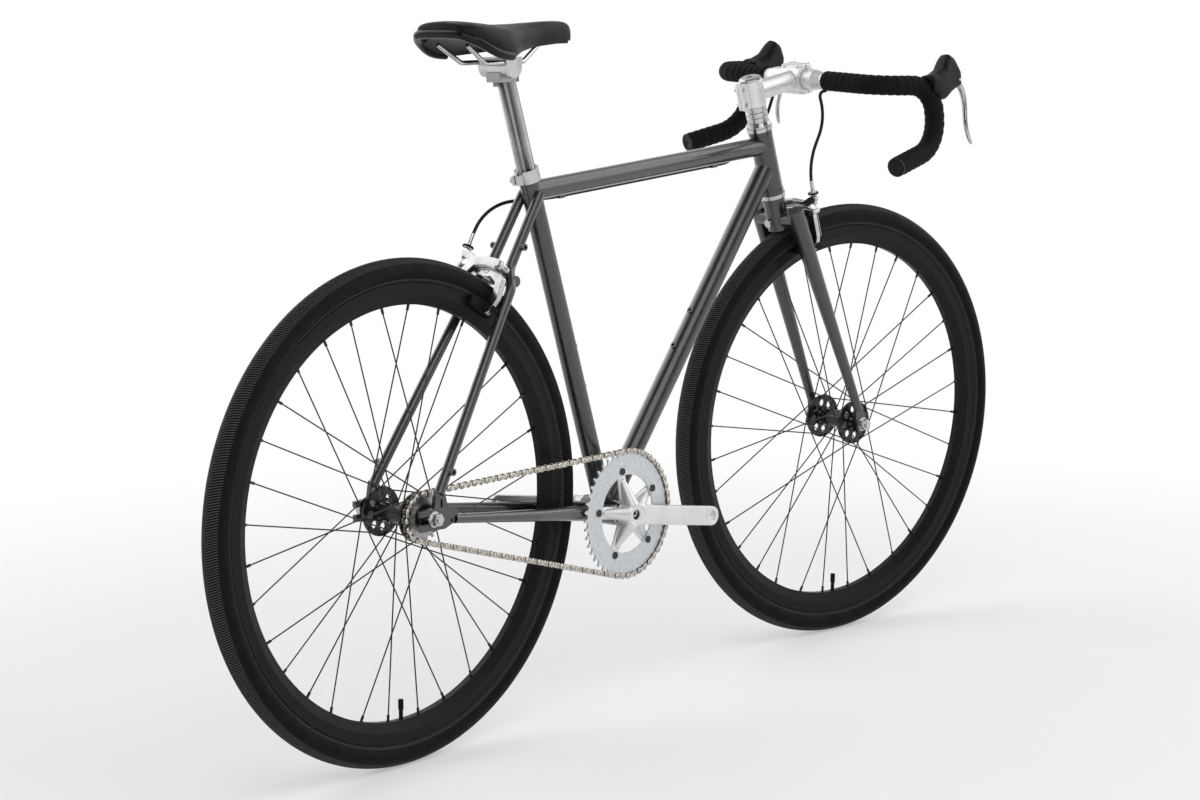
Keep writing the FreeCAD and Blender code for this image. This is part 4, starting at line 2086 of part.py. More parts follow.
saddle_cover = Part.makeLoft([saddle_section(row) for row in SADDLE_SHARES], True, False)
saddle_base = Part.makeLoft([shell_section(row) for row in SADDLE_SHARES[1:-1]], True, True)
node(shaped("saddle_cover", saddle_cover), "saddle_cover", saddle_frame)
node(cut("saddle_shell_cut", shaped("saddle_base", saddle_base), [rail_tool]), "saddle_shell", saddle_frame)


# Brake cables: housings from the taped bar to the barrel adjusters, and the bare wires below

def tape_exit(side):
    """The two places where a housing leaves the end of the tape under the bar."""
    return [(0, side * size.tape_exit_side, -size.tape_exit_drop),
            (0, side * size.tape_leave_side, -size.tape_leave_drop)]


FRONT_BEND_SHARES = (0.154, 1.0, 1.218)
REAR_BEND_SHARES = (0.154, 0.897, 0.962, 0.769, 0.769, 1.0)
GUIDE_ENTRY_SHARE = 0.72
GUIDE_EXIT_SHARE = 0.70
NOODLE_SHARE = 3.9
FRONT_RISE_SHARE = 2.4


def wire_below(place):
    """The bare wire from the end of its housing down to just above the anchor."""
    top = cable_stop(size.barrel_length + size.cable_end_gap)
    end = anchor_place() + ALONG_Z * float(size.anchor_radius + size.wire_gap)
    wire = round_bar(end, top, size.wire_radius)
    wire.Placement = place
    return wire


def build_cable(name, points, bend_shares, place):
    """A housing of straight runs and tangent arcs, with its bare wire; prints its bends."""
    bends = [share * float(size.cable_bend) for share in bend_shares]
    path = rounded_path(points, bends)
    housing = piped(path, size.housing_radius)
    area = math.pi * float(size.housing_radius) ** 2
    print(name, "length %.1f" % path.Length, "bends", ["%.0f" % bend for bend in bends],
          "volume share %.4f" % (housing.Volume / (area * path.Length)))
    return Part.makeCompound([housing, wire_below(place)])


def to_vectors(spots, place):
    return [place.multVec(vec(*spot)) for spot in spots]


stop_top = cable_stop(size.barrel_length + size.cable_end_gap)
front_rise = stop_top + ALONG_Z * (FRONT_RISE_SHARE * float(size.barrel_length))
front_turn = (size.front_turn_ahead, -size.front_turn_side, size.front_turn_height)
front_points = to_vectors(tape_exit(-1), bar_world) + to_vectors([front_turn], steering) + [
    front_caliper.multVec(front_rise), front_caliper.multVec(stop_top)]
node(shaped("front_brake_cable", build_cable("front_brake_cable", front_points, FRONT_BEND_SHARES,
                                             front_caliper)),
     "front_brake_cable")
guide_level = -size.top_tube_radius - size.guide_drop
entry = top_tube_length - GUIDE_ENTRY_SHARE * size.guide_front_back
leave = GUIDE_EXIT_SHARE * size.guide_rear_forward
noodle = stop_top + ALONG_Z * (NOODLE_SHARE * float(size.barrel_length))
rear_turn = (size.rear_turn_ahead, size.rear_turn_side, size.rear_turn_height)
head_pass = (top_tube_length + size.head_pass_ahead, size.head_pass_side, -size.head_pass_drop)
rear_points = (to_vectors(tape_exit(1), bar_world) + to_vectors([rear_turn], steering)
               + to_vectors([head_pass, (entry, size.guide_side, guide_level),
                             (leave, size.guide_side, guide_level)], top_tube_frame)
               + [rear_caliper.multVec(noodle), rear_caliper.multVec(stop_top)])
node(shaped("rear_brake_cable", build_cable("rear_brake_cable", rear_points, REAR_BEND_SHARES, rear_caliper)),
     "rear_brake_cable")

# Check every piece, then write each node

doc.recompute()
for thing in doc.Objects:
    if "Invalid" in thing.State or "Error" in thing.State:
        raise RuntimeError("%s: %s" % (thing.Label, thing.State))
for thing in nodes:
    if thing.Shape.isNull() or not thing.Shape.isValid() or not thing.Shape.Solids:
        raise RuntimeError("%s has no sound shape" % thing.Label)
os.makedirs("parts", exist_ok=True)
for thing in nodes:
    thing.Shape.exportStep("parts/%s.step" % thing.Label)
print(len(nodes), "nodes written")
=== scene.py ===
import math

import bpy
from mathutils import Matrix, Vector


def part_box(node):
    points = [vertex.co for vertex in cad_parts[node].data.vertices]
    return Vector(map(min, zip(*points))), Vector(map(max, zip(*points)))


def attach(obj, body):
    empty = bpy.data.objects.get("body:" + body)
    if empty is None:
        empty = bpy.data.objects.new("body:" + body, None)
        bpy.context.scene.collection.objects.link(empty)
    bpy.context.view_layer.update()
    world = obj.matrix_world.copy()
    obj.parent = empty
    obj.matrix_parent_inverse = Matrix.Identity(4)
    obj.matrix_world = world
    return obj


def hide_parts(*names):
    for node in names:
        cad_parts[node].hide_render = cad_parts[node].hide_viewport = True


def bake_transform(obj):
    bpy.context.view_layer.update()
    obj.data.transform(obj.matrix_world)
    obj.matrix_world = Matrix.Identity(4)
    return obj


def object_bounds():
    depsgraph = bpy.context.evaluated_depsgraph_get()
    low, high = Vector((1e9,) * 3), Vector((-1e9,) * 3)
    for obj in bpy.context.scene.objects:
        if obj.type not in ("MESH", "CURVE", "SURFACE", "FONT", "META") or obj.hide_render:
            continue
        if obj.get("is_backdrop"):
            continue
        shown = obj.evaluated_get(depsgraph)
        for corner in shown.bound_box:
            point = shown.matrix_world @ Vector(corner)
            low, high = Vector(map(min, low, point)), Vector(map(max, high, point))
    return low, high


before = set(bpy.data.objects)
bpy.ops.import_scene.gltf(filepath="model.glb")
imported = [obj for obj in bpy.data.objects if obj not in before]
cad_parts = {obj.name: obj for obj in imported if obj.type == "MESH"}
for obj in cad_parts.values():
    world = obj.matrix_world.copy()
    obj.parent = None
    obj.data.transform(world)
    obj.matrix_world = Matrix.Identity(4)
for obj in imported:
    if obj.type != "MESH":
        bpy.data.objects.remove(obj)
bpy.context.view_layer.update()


# Frame and fork: welded steel tubes under a metallic grey paint. Fine flakes in the
# paint catch the light, and a clear coat lies over them.

def new_finish(name):
    """A material with its shader and the place on the piece, in metres."""
    material = bpy.data.materials.new(name)
    material.use_nodes = True
    tree = material.node_tree
    shader = tree.nodes["Principled BSDF"]
    place = tree.nodes.new("ShaderNodeTexCoord").outputs["Object"]
    return material, tree, shader, place


def grain(tree, place, scale, detail=3.0):
    """Noise over the piece, as a number from 0 to 1."""
    noise = tree.nodes.new("ShaderNodeTexNoise")
    noise.inputs["Scale"].default_value = scale
    noise.inputs["Detail"].default_value = detail
    tree.links.new(place, noise.inputs["Vector"])
    return noise.outputs["Fac"]


def tint(tree, amount, low_colour, high_colour, low=0.35, high=0.65):
    """A colour between two, by a number."""
    ramp = tree.nodes.new("ShaderNodeValToRGB")
    ramp.color_ramp.elements[0].position = low
    ramp.color_ramp.elements[0].color = (*low_colour, 1)
    ramp.color_ramp.elements[1].position = high
    ramp.color_ramp.elements[1].color = (*high_colour, 1)
    tree.links.new(amount, ramp.inputs["Fac"])
    return ramp.outputs["Color"]


def spread(tree, amount, low, high):
    """A number moved to the range from low to high."""
    fit = tree.nodes.new("ShaderNodeMapRange")
    fit.inputs["From Min"].default_value = 0.3
    fit.inputs["From Max"].default_value = 0.7
    fit.inputs["To Min"].default_value = low
    fit.inputs["To Max"].default_value = high
    tree.links.new(amount, fit.inputs["Value"])
    return fit.outputs["Result"]


def relief(tree, shader, height, depth, strength=1.0):
    """Raises and sinks the surface by a height, depth metres for a full step."""
    bump = tree.nodes.new("ShaderNodeBump")
    bump.inputs["Strength"].default_value = strength
    bump.inputs["Distance"].default_value = depth
    tree.links.new(height, bump.inputs["Height"])
    tree.links.new(bump.outputs["Normal"], shader.inputs["Normal"])


def dress(material, *names):
    """Gives the material to CAD nodes."""
    for name in names:
        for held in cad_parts[name].material_slots:
            held.material = material


paint, tree, shader, place = new_finish("grey_metallic_paint")
flakes = grain(tree, place, 1400, 2)
tree.links.new(tint(tree, flakes, (0.018, 0.0183, 0.019), (0.095, 0.096, 0.0985)),
               shader.inputs["Base Color"])
tree.links.new(spread(tree, grain(tree, place, 60), 0.26, 0.36), shader.inputs["Roughness"])
shader.inputs["Metallic"].default_value = 0.8
shader.inputs["Coat Weight"].default_value = 0.8
shader.inputs["Coat Roughness"].default_value = 0.06
relief(tree, shader, flakes, 0.00004)
dress(paint, "head_tube", "top_tube", "down_tube", "seat_tube", "bottom_bracket_shell", "chainstays",
      "seatstays", "rear_dropouts", "frame_fittings", "fork_crown", "fork_blades")


# Stem, faceplate, bar and cranks: aluminium, blasted and lacquered to a soft white shine.
# A forging has no sharp edge, so each is drawn as one even skin over its CAD solid,
# which also lets the crank's boss run into the arms that carry the ring.

FORGED_GRID = 0.0007
FORGED_ROUNDS = 16


def clear_selection():
    """Leaves nothing selected."""
    bpy.ops.object.select_all(action="DESELECT")


def aim(start, end):
    """The move that puts an upright piece midway between two places, pointing along them."""
    run = end - start
    return Matrix.Translation(0.5 * (start + end)) @ run.to_track_quat("Z", "Y").to_matrix().to_4x4()


def copy_of(name, node):
    """A selected copy of a CAD node's mesh without its material, its doubled points joined."""
    clear_selection()
    piece = bpy.data.objects.new(name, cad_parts[node].data.copy())
    bpy.context.collection.objects.link(piece)
    piece.data.materials.clear()
    bpy.context.view_layer.objects.active = piece
    piece.select_set(True)
    bpy.ops.object.mode_set(mode="EDIT")
    bpy.ops.mesh.select_all(action="SELECT")
    bpy.ops.mesh.remove_doubles(threshold=0.00001)
    bpy.ops.object.mode_set(mode="OBJECT")
    return piece


def soft_skin(name, node, body, material, grid, rounds, fillers=()):
    """Draws one even skin over a CAD node, and the fillers joined to it, and smooths it."""
    piece = copy_of(name, node)
    for filler in fillers:
        filler.select_set(True)
    bpy.context.view_layer.objects.active = piece
    if fillers:
        bpy.ops.object.join()
    skin = piece.modifiers.new("skin", "REMESH")
    skin.mode = "VOXEL"
    skin.voxel_size = grid
    bpy.ops.object.modifier_apply(modifier=skin.name)
    soften = piece.modifiers.new("soften", "SMOOTH")
    soften.factor = 0.5
    soften.iterations = rounds
    bpy.ops.object.modifier_apply(modifier=soften.name)
    bpy.ops.object.shade_smooth()
    piece.data.materials.append(material)
    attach(piece, body)
    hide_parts(node)
    return piece


satin, tree, shader, place = new_finish("satin_silver")
shader.inputs["Metallic"].default_value = 1.0
tree.links.new(tint(tree, grain(tree, place, 35), (0.70, 0.70, 0.698), (0.78, 0.78, 0.778)),
               shader.inputs["Base Color"])
tree.links.new(spread(tree, grain(tree, place, 120), 0.42, 0.50), shader.inputs["Roughness"])
dress(satin, "handlebar")
for node, body in (("stem", "steering"), ("stem_faceplate", "steering"), ("left_crank", "cranks")):
    soft_skin("forged_" + node, node, body, satin, FORGED_GRID, FORGED_ROUNDS)


# Right crank: one forging with five arms that sweep from its boss to the ring. Tapered
# webs fill the angle between boss and arms before the skin is drawn over them.

CRANK_AXLE = Vector((0.429454, 0, 0.289))
FIRST_ARM = -45
ARM_STEP = -72
WEB_START = (0.012, -0.0555, 0.0120)
WEB_END = (0.0525, -0.0415, 0.0046)
CRANK_ROUNDS = 20

webs = []
for index in range(5):
    turn = math.radians(FIRST_ARM + ARM_STEP * index)
    out = Vector((math.cos(turn), 0, math.sin(turn)))
    start = CRANK_AXLE + out * WEB_START[0] + Vector((0, WEB_START[1], 0))
    end = CRANK_AXLE + out * WEB_END[0] + Vector((0, WEB_END[1], 0))
    clear_selection()
    bpy.ops.mesh.primitive_cone_add(vertices=32, radius1=WEB_START[2], radius2=WEB_END[2],
                                    depth=(end - start).length, location=(0, 0, 0))
    web = bpy.context.object
    web.data.transform(aim(start, end))
    webs.append(web)
soft_skin("forged_right_crank", "right_crank", "cranks", satin, FORGED_GRID, CRANK_ROUNDS,
          webs)


# Seatpost: a drawn aluminium tube with a clear anodised shine, darker and smoother than
# the forgings. It is a hair slimmer than its CAD solid, so that it slides in the seat tube.

drawn, tree, shader, place = new_finish("drawn_silver")
shader.inputs["Metallic"].default_value = 1.0
tree.links.new(tint(tree, grain(tree, place, 30), (0.30, 0.30, 0.305), (0.36, 0.36, 0.365)),
               shader.inputs["Base Color"])
tree.links.new(spread(tree, grain(tree, place, 150), 0.30, 0.36), shader.inputs["Roughness"])

POST_AXIS = Vector((-0.292372, 0, 0.956305))
POST_SLIDE = 0.985
POST_FOOT = Vector((0.429454, 0, 0.289))

post = copy_of("drawn_post", "seatpost")
thinner = (Matrix.Translation(POST_FOOT) @ Matrix.Scale(POST_SLIDE, 4, (0, 1, 0))
           @ Matrix.Scale(POST_SLIDE, 4, POST_AXIS.cross(Vector((0, 1, 0)))) @ Matrix.Translation(-POST_FOOT))
post.data.transform(thinner)
bpy.ops.object.shade_smooth_by_angle(angle=math.radians(30))
post.data.materials.append(drawn)
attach(post, "post")
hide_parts("seatpost")


# Chainring: cut from aluminium plate and left dull, a shade greyer than the crank.
# Five bolts hold it on the arms of the right crank.

ring_face, tree, shader, place = new_finish("dull_ring_plate")
shader.inputs["Metallic"].default_value = 0.9
tree.links.new(tint(tree, grain(tree, place, 300), (0.56, 0.59, 0.615), (0.66, 0.69, 0.715)),
               shader.inputs["Base Color"])
tree.links.new(spread(tree, grain(tree, place, 500), 0.42, 0.54), shader.inputs["Roughness"])
relief(tree, shader, grain(tree, place, 1800, 2), 0.00003)
dress(ring_face, "chainring")


# Polished and plated parts: brake arms, levers, headset, clamps, rails, nuts and screws.
# Bright metal with faint smears that break up its reflections.

bright, tree, shader, place = new_finish("polished_silver")
shader.inputs["Metallic"].default_value = 1.0
tree.links.new(tint(tree, grain(tree, place, 50), (0.45, 0.45, 0.455), (0.58, 0.58, 0.585)),
               shader.inputs["Base Color"])
tree.links.new(spread(tree, grain(tree, place, 90, 5), 0.16, 0.24), shader.inputs["Roughness"])
dress(bright, "headset_cups", "headset_spacers", "seat_clamp", "saddle_clamp", "saddle_rails", "stem_bolts",
      "front_brake_bolt", "rear_brake_bolt", "front_axle", "rear_axle", "bottom_bracket", "crank_spindle",
      "fork_steerer")


# Brake arms: forged aluminium, polished all over, with soft edges. One arm of each
# brake turns on the middle bolt, the other on a pivot at its side.

ARM_GRID = 0.0006
ARM_ROUNDS = 20

for end in ("front", "rear"):
    for kind in ("centre_arm", "side_arm"):
        soft_skin("forged_%s_%s" % (end, kind), "%s_brake_%s" % (end, kind), "%s_%s" % (end, kind),
                  bright, ARM_GRID, ARM_ROUNDS)


# Brake levers: slim forged blades, polished, bowed back in the middle and turned ahead at
# the tip. Each turns on a bright steel pin across its hood.

PIN_RADIUS = 0.0023
PIN_HALF = 0.0122
LEVER_PINS = (
    # place and axis of the left and the right pin
    (Vector((1.065832, 0.157949, 0.919186)), Vector((0.1399, 0.9670, 0.2130))),
    (Vector((1.00997, -0.229675, 0.902107)), Vector((0.1410, 0.9818, -0.1271))),
)
LEVER_LINE = (
    # ahead of the pin and below it, share of the blade's half thickness
    (0.0, 0.0, 1.35),
    (0.008, 0.003, 1.35),
    (0.0165, 0.018, 1.15),
    (0.0185, 0.042, 0.95),
    (0.0150, 0.066, 0.85),
    (0.0185, 0.086, 0.80),
    (0.0235, 0.0965, 0.72),
    (0.0255, 0.1000, 0.35),
)
BLADE_HALF = 0.0038
BLADE_SPREAD = 1.25
BAR_AHEAD = Vector((0.989789, -0.142506, -0.003122))


def rod(name, start, end, radius, sides=32):
    """A round rod between two places."""
    clear_selection()
    bpy.ops.mesh.primitive_cylinder_add(vertices=sides, radius=radius, depth=(end - start).length,
                                        location=(0, 0, 0))
    piece = bpy.context.object
    piece.name = name
    piece.data.transform(aim(start, end))
    bpy.ops.object.shade_smooth_by_angle(angle=math.radians(35))
    return piece


for word, (middle, axis) in zip(("left", "right"), LEVER_PINS):
    pin = rod(word + "_lever_pin", middle - axis * PIN_HALF, middle + axis * PIN_HALF, PIN_RADIUS)
    pin.data.materials.append(bright)
    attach(pin, "steering")
    bow = bpy.data.curves.new(word + "_blade", "CURVE")
    bow.dimensions = "3D"
    bow.bevel_depth = BLADE_HALF
    bow.bevel_resolution = 6
    bow.resolution_u = 10
    bow.use_fill_caps = True
    line = bow.splines.new("NURBS")
    line.points.add(len(LEVER_LINE) - 1)
    for point, (forward, below, share) in zip(line.points, LEVER_LINE):
        point.co = (forward, 0, -below, 1)
        point.radius = share
    line.order_u = 4
    line.use_endpoint_u = True
    blade = bpy.data.objects.new(word + "_lever_blade", bow)
    bpy.context.collection.objects.link(blade)
    clear_selection()
    blade.select_set(True)
    bpy.context.view_layer.objects.active = blade
    bpy.ops.object.convert(target="MESH")
    blade = bpy.context.object
    hang = Matrix((BAR_AHEAD, axis, BAR_AHEAD.cross(axis))).transposed().to_4x4()
    blade.data.transform(Matrix.Translation(middle) @ hang @ Matrix.Diagonal((1, BLADE_SPREAD, 1, 1)))
    bpy.ops.object.shade_smooth()
    blade.data.materials.append(bright)
    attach(blade, word + "_lever")
    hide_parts(word + "_brake_lever")


# Cog with its lockring: turned from steel and left plain grey. Both are screwed on the
# right end of the rear hub.

cog_steel, tree, shader, place = new_finish("turned_steel")
shader.inputs["Metallic"].default_value = 1.0
tree.links.new(tint(tree, grain(tree, place, 260), (0.26, 0.265, 0.265), (0.40, 0.405, 0.405)),
               shader.inputs["Base Color"])
tree.links.new(spread(tree, grain(tree, place, 200), 0.26, 0.38), shader.inputs["Roughness"])
dress(cog_steel, "rear_cog")


# Chain: nickel plated steel, a little warm. The side faces of its plates are bright, and its rollers,
# plate edges and the gaps between the plates are coloured near-black as painted shade.

nickel, tree, shader, place = new_finish("nickel_plate")
shader.inputs["Metallic"].default_value = 1.0
tree.links.new(tint(tree, grain(tree, place, 220), (0.48, 0.44, 0.385), (0.70, 0.66, 0.60)),
               shader.inputs["Base Color"])
tree.links.new(spread(tree, grain(tree, place, 260), 0.20, 0.36), shader.inputs["Roughness"])

# Near-black steel: painted shade for the rollers, plate edges and gaps between the plates.
gap_shade, tree, shader, place = new_finish("painted_gap_shade_steel")
shader.inputs["Metallic"].default_value = 1.0
tree.links.new(tint(tree, grain(tree, place, 300), (0.05, 0.042, 0.034), (0.12, 0.10, 0.08)),
               shader.inputs["Base Color"])
tree.links.new(spread(tree, grain(tree, place, 260), 0.30, 0.45), shader.inputs["Roughness"])

links = copy_of("chain_links", "chain")
links.data.materials.append(nickel)
links.data.materials.append(gap_shade)
# Faces turned to the sides keep the plated colour; all other faces get the painted shade.
for face in links.data.polygons:
    face.material_index = 0 if abs(face.normal.y) > 0.9 else 1
bpy.ops.object.shade_smooth_by_angle(angle=math.radians(30))
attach(links, "frame")
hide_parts("chain")


# Rims: deep box rims of pressed aluminium bar, black anodised, with a faint grain.
# The spokes hold them through the inner wall.

rim_black, tree, shader, place = new_finish("black_anodised")
shader.inputs["Specular IOR Level"].default_value = 0.14
tree.links.new(tint(tree, grain(tree, place, 400), (0.004, 0.004, 0.0042), (0.009, 0.009, 0.0095)),
               shader.inputs["Base Color"])
tree.links.new(spread(tree, grain(tree, place, 80), 0.36, 0.46), shader.inputs["Roughness"])
relief(tree, shader, grain(tree, place, 900, 2), 0.00002)
dress(rim_black, "front_rim", "rear_rim")


# Hubs, spokes and small black bolts: glossy black over turned aluminium and drawn steel.
# The spokes hook into the flanges of the hubs.

gloss_black, tree, shader, place = new_finish("gloss_black_metal")
shader.inputs["Specular IOR Level"].default_value = 0.4
tree.links.new(tint(tree, grain(tree, place, 150), (0.007, 0.007, 0.0075), (0.014, 0.014, 0.0145)),
               shader.inputs["Base Color"])
tree.links.new(spread(tree, grain(tree, place, 140), 0.14, 0.24), shader.inputs["Roughness"])
dress(gloss_black, "front_hub", "rear_hub", "front_spokes", "rear_spokes", "crank_bolts")


# Crank bolts: steel with black heads, screwed into the ends of the spindle. A bright
# ring is pressed round each hexagon socket.

RING_OUTER = 0.0046
RING_WIRE = 0.0013

bolts_low, bolts_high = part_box("crank_bolts")
bolt_middle = 0.5 * (bolts_low + bolts_high)
for word, level in (("right", bolts_low.y), ("left", bolts_high.y)):
    clear_selection()
    bpy.ops.mesh.primitive_torus_add(major_radius=RING_OUTER, minor_radius=RING_WIRE, major_segments=40,
                                     minor_segments=10, location=(0, 0, 0))
    ring = bpy.context.object
    ring.name = word + "_crank_bolt_ring"
    ring.data.transform(Matrix.Translation((bolt_middle.x, level, bolt_middle.z))
                        @ Matrix.Rotation(0.5 * math.pi, 4, "X"))
    bpy.ops.object.shade_smooth()
    ring.data.materials.append(bright)
    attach(ring, "cranks")


# Tyres: moulded rubber with smooth side walls and a fine file tread on the crown,
# whose ribs lean both ways from the middle line. A thin ridge runs above the rim.

TYRE_RADIUS = 0.351
SECTION_RADIUS = 0.0202
BEAD_RADIUS = 0.31775
BEAD_HALF = 0.00985
RIDGE = 0.0005
RIB_PITCH = 0.0036
RIB_DEPTH = 0.0007
RIB_LEAN = 0.35
RIB_STEEPNESS = 3.0
RIB_RELIEF = 0.0004
RIBS = round(2 * math.pi * TYRE_RADIUS / RIB_PITCH)
TREAD_HALF = 0.0150
TREAD_EDGE = 0.0012
REAR_WHEEL = Matrix.Translation((0, 0, 0.351))
FRONT_AXES = (Vector((0.989789, -0.142506, -0.003122)), Vector((0.142506, 0.988835, 0.043569)),
              Vector((-0.003122, -0.043569, 0.999046)))
FRONT_WHEEL = Matrix.Translation((1.006522, -0.006676, 0.350854)) @ Matrix(FRONT_AXES).transposed().to_4x4()


def tyre_outline():
    """The section's outer line from bead to bead, then its inner line back."""
    middle = TYRE_RADIUS - SECTION_RADIUS
    half = [(BEAD_RADIUS - 0.005, BEAD_HALF - 0.0004), (BEAD_RADIUS, BEAD_HALF),
            (BEAD_RADIUS + 0.0016, BEAD_HALF + 0.0022), (BEAD_RADIUS + 0.0024, BEAD_HALF + 0.0036 + RIDGE),
            (BEAD_RADIUS + 0.0034, BEAD_HALF + 0.0044)]
    half += [(BEAD_RADIUS + 0.0065, 0.01675), (BEAD_RADIUS + 0.0098, 0.0190)]
    for step in range(11):
        turn = math.radians(90 - 9 * step)
        half.append((middle + SECTION_RADIUS * math.cos(turn), SECTION_RADIUS * math.sin(turn)))
    outer = half + [(radius, -across) for radius, across in half[-2::-1]]
    inner = [(BEAD_RADIUS - 0.005, -BEAD_HALF + 0.0028), (BEAD_RADIUS + 0.0065, -0.0143), (middle, -0.0178),
             (middle + 0.0110, -0.0115), (TYRE_RADIUS - 0.0045, 0), (middle + 0.0110, 0.0115),
             (middle, 0.0178), (BEAD_RADIUS + 0.0065, 0.0143), (BEAD_RADIUS - 0.005, BEAD_HALF - 0.0028)]
    return outer + inner


def spin_tyre(name, outline, frame_matrix):
    """Turns a closed section about the wheel's axle, cuts the tread and puts it in place."""
    clear_selection()
    mesh = bpy.data.meshes.new(name)
    count = len(outline)
    mesh.from_pydata([(radius, across, 0) for radius, across in outline],
                     [(index, (index + 1) % count) for index in range(count)], [])
    piece = bpy.data.objects.new(name, mesh)
    bpy.context.collection.objects.link(piece)
    bpy.context.view_layer.objects.active = piece
    piece.select_set(True)
    bpy.ops.object.mode_set(mode="EDIT")
    bpy.ops.mesh.select_all(action="SELECT")
    bpy.ops.mesh.spin(steps=2 * RIBS, angle=2 * math.pi, center=(0, 0, 0), axis=(0, 1, 0))
    bpy.ops.mesh.select_all(action="SELECT")
    bpy.ops.mesh.remove_doubles(threshold=0.00002)
    bpy.ops.mesh.normals_make_consistent(inside=False)
    bpy.ops.object.mode_set(mode="OBJECT")
    cut_tread(piece)
    piece.data.transform(frame_matrix)
    bpy.ops.object.shade_smooth_by_angle(angle=math.radians(40))
    return piece


def cut_tread(piece):
    """Leans the points both ways from the middle line and sinks every second row between the ribs."""
    for spot in piece.data.vertices:
        radius = math.hypot(spot.co.x, spot.co.z)
        row = round(math.atan2(spot.co.z, spot.co.x) * RIBS / math.pi)
        outside = math.hypot(radius - TYRE_RADIUS + SECTION_RADIUS, spot.co.y) > SECTION_RADIUS - RIB_DEPTH
        if outside and row % 2 and abs(spot.co.y) < TREAD_HALF:
            radius -= RIB_DEPTH
        lean = RIB_LEAN * min(abs(spot.co.y), TREAD_HALF + TREAD_EDGE) / TYRE_RADIUS
        turn = (row + 0.5) * math.pi / RIBS - lean
        spot.co.x, spot.co.z = radius * math.cos(turn), radius * math.sin(turn)


def number(tree, kind, first, second=None):
    """One step of arithmetic between two outputs or plain numbers."""
    step = tree.nodes.new("ShaderNodeMath")
    step.operation = kind
    for socket, value in zip(step.inputs, (first, second)):
        if value is None:
            continue
        if isinstance(value, (int, float)):
            socket.default_value = value
        else:
            tree.links.new(value, socket)
    return step.outputs[0]


def tyre_rubber(name, frame_matrix):
    """Black rubber whose ribs follow the wheel, by the angle and the distance from the middle line."""
    material, tree, shader, place = new_finish(name)
    own = tree.nodes.new("ShaderNodeMapping")
    own.vector_type = "TEXTURE"
    own.inputs["Location"].default_value = frame_matrix.to_translation()
    own.inputs["Rotation"].default_value = frame_matrix.to_euler()
    tree.links.new(place, own.inputs["Vector"])
    parts = tree.nodes.new("ShaderNodeSeparateXYZ")
    tree.links.new(own.outputs["Vector"], parts.inputs["Vector"])
    angle = number(tree, "MULTIPLY", number(tree, "ARCTAN2", parts.outputs["Z"], parts.outputs["X"]), RIBS)
    across = number(tree, "ABSOLUTE", parts.outputs["Y"])
    lean = number(tree, "MULTIPLY", across, RIB_LEAN * 2 * math.pi / RIB_PITCH)
    wave = number(tree, "SINE", number(tree, "ADD", angle, lean))
    step = number(tree, "MULTIPLY", wave, RIB_STEEPNESS)
    step = number(tree, "MAXIMUM", number(tree, "MINIMUM", step, 1.0), -1.0)
    edge = tree.nodes.new("ShaderNodeMapRange")
    edge.inputs["From Min"].default_value = TREAD_HALF
    edge.inputs["From Max"].default_value = TREAD_HALF + TREAD_EDGE
    edge.inputs["To Min"].default_value = 1.0
    edge.inputs["To Max"].default_value = 0.0
    tree.links.new(across, edge.inputs["Value"])
    tread = number(tree, "MULTIPLY", step, edge.outputs["Result"])
    fine = number(tree, "MULTIPLY", grain(tree, place, 900, 2), 0.25)
    relief(tree, shader, number(tree, "ADD", tread, fine), RIB_RELIEF)
    # Base colour: random grain, plus painted shade in the tread's grooves and a painted highlight on its
    # ribs.
    grain_and_painted_groove_shade = number(tree, "ADD", number(tree, "MULTIPLY", grain(tree, place, 45, 5), 0.12), tread)
    tree.links.new(tint(tree, grain_and_painted_groove_shade, (0.0032, 0.0032, 0.0034), (0.075, 0.075, 0.077), 0.0, 1.0),
                   shader.inputs["Base Color"])
    tree.links.new(spread(tree, grain(tree, place, 70), 0.50, 0.64), shader.inputs["Roughness"])
    shader.inputs["Specular IOR Level"].default_value = 0.07
    return material


for word, wheel in (("rear", REAR_WHEEL), ("front", FRONT_WHEEL)):
    tyre = spin_tyre(word + "_tyre_rubber", tyre_outline(), wheel)
    tyre.data.materials.append(tyre_rubber(word + "_tyre_tread", wheel))
    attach(tyre, word + "_wheel")
    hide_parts(word + "_tyre")


# Inner tubes with their valves, and the brake shoes: moulded black rubber. The tubes lie
# inside the tyres, the shoes are screwed to the brake arms.

rubber, tree, shader, place = new_finish("matte_rubber")
tree.links.new(tint(tree, grain(tree, place, 120), (0.005, 0.005, 0.005), (0.010, 0.010, 0.010)),
               shader.inputs["Base Color"])
shader.inputs["Specular IOR Level"].default_value = 0.12
tree.links.new(spread(tree, grain(tree, place, 200), 0.50, 0.68), shader.inputs["Roughness"])
relief(tree, shader, grain(tree, place, 1500, 2), 0.00006)
dress(rubber, "front_inner_tube", "rear_inner_tube", "front_brake_centre_shoe", "front_brake_side_shoe",
      "rear_brake_centre_shoe", "rear_brake_side_shoe")


# Brake cables: black sleeves over wound steel, whose lower ends sit in bright ferrules.
# Below them the bare wire runs through the barrel adjuster, which has a black ring
# to turn it by. The ferrules and adjuster rings go with the side arms that they sit on,
# and the front half of the rear sleeve is cut off as a piece of its own.

FERRULE_RADIUS = 0.0031
FERRULE_LENGTH = 0.013
RING_DROP = 0.0079
TURNER_RADIUS = 0.0070
TURNER_WIRE = 0.0017
SLEEVE_PARTING = 0.55

sleeve, tree, shader, place = new_finish("black_sleeve")
tree.links.new(tint(tree, grain(tree, place, 90), (0.004, 0.004, 0.004), (0.008, 0.008, 0.008)),
               shader.inputs["Base Color"])
tree.links.new(spread(tree, grain(tree, place, 160), 0.28, 0.40), shader.inputs["Roughness"])
shader.inputs["Specular IOR Level"].default_value = 0.2

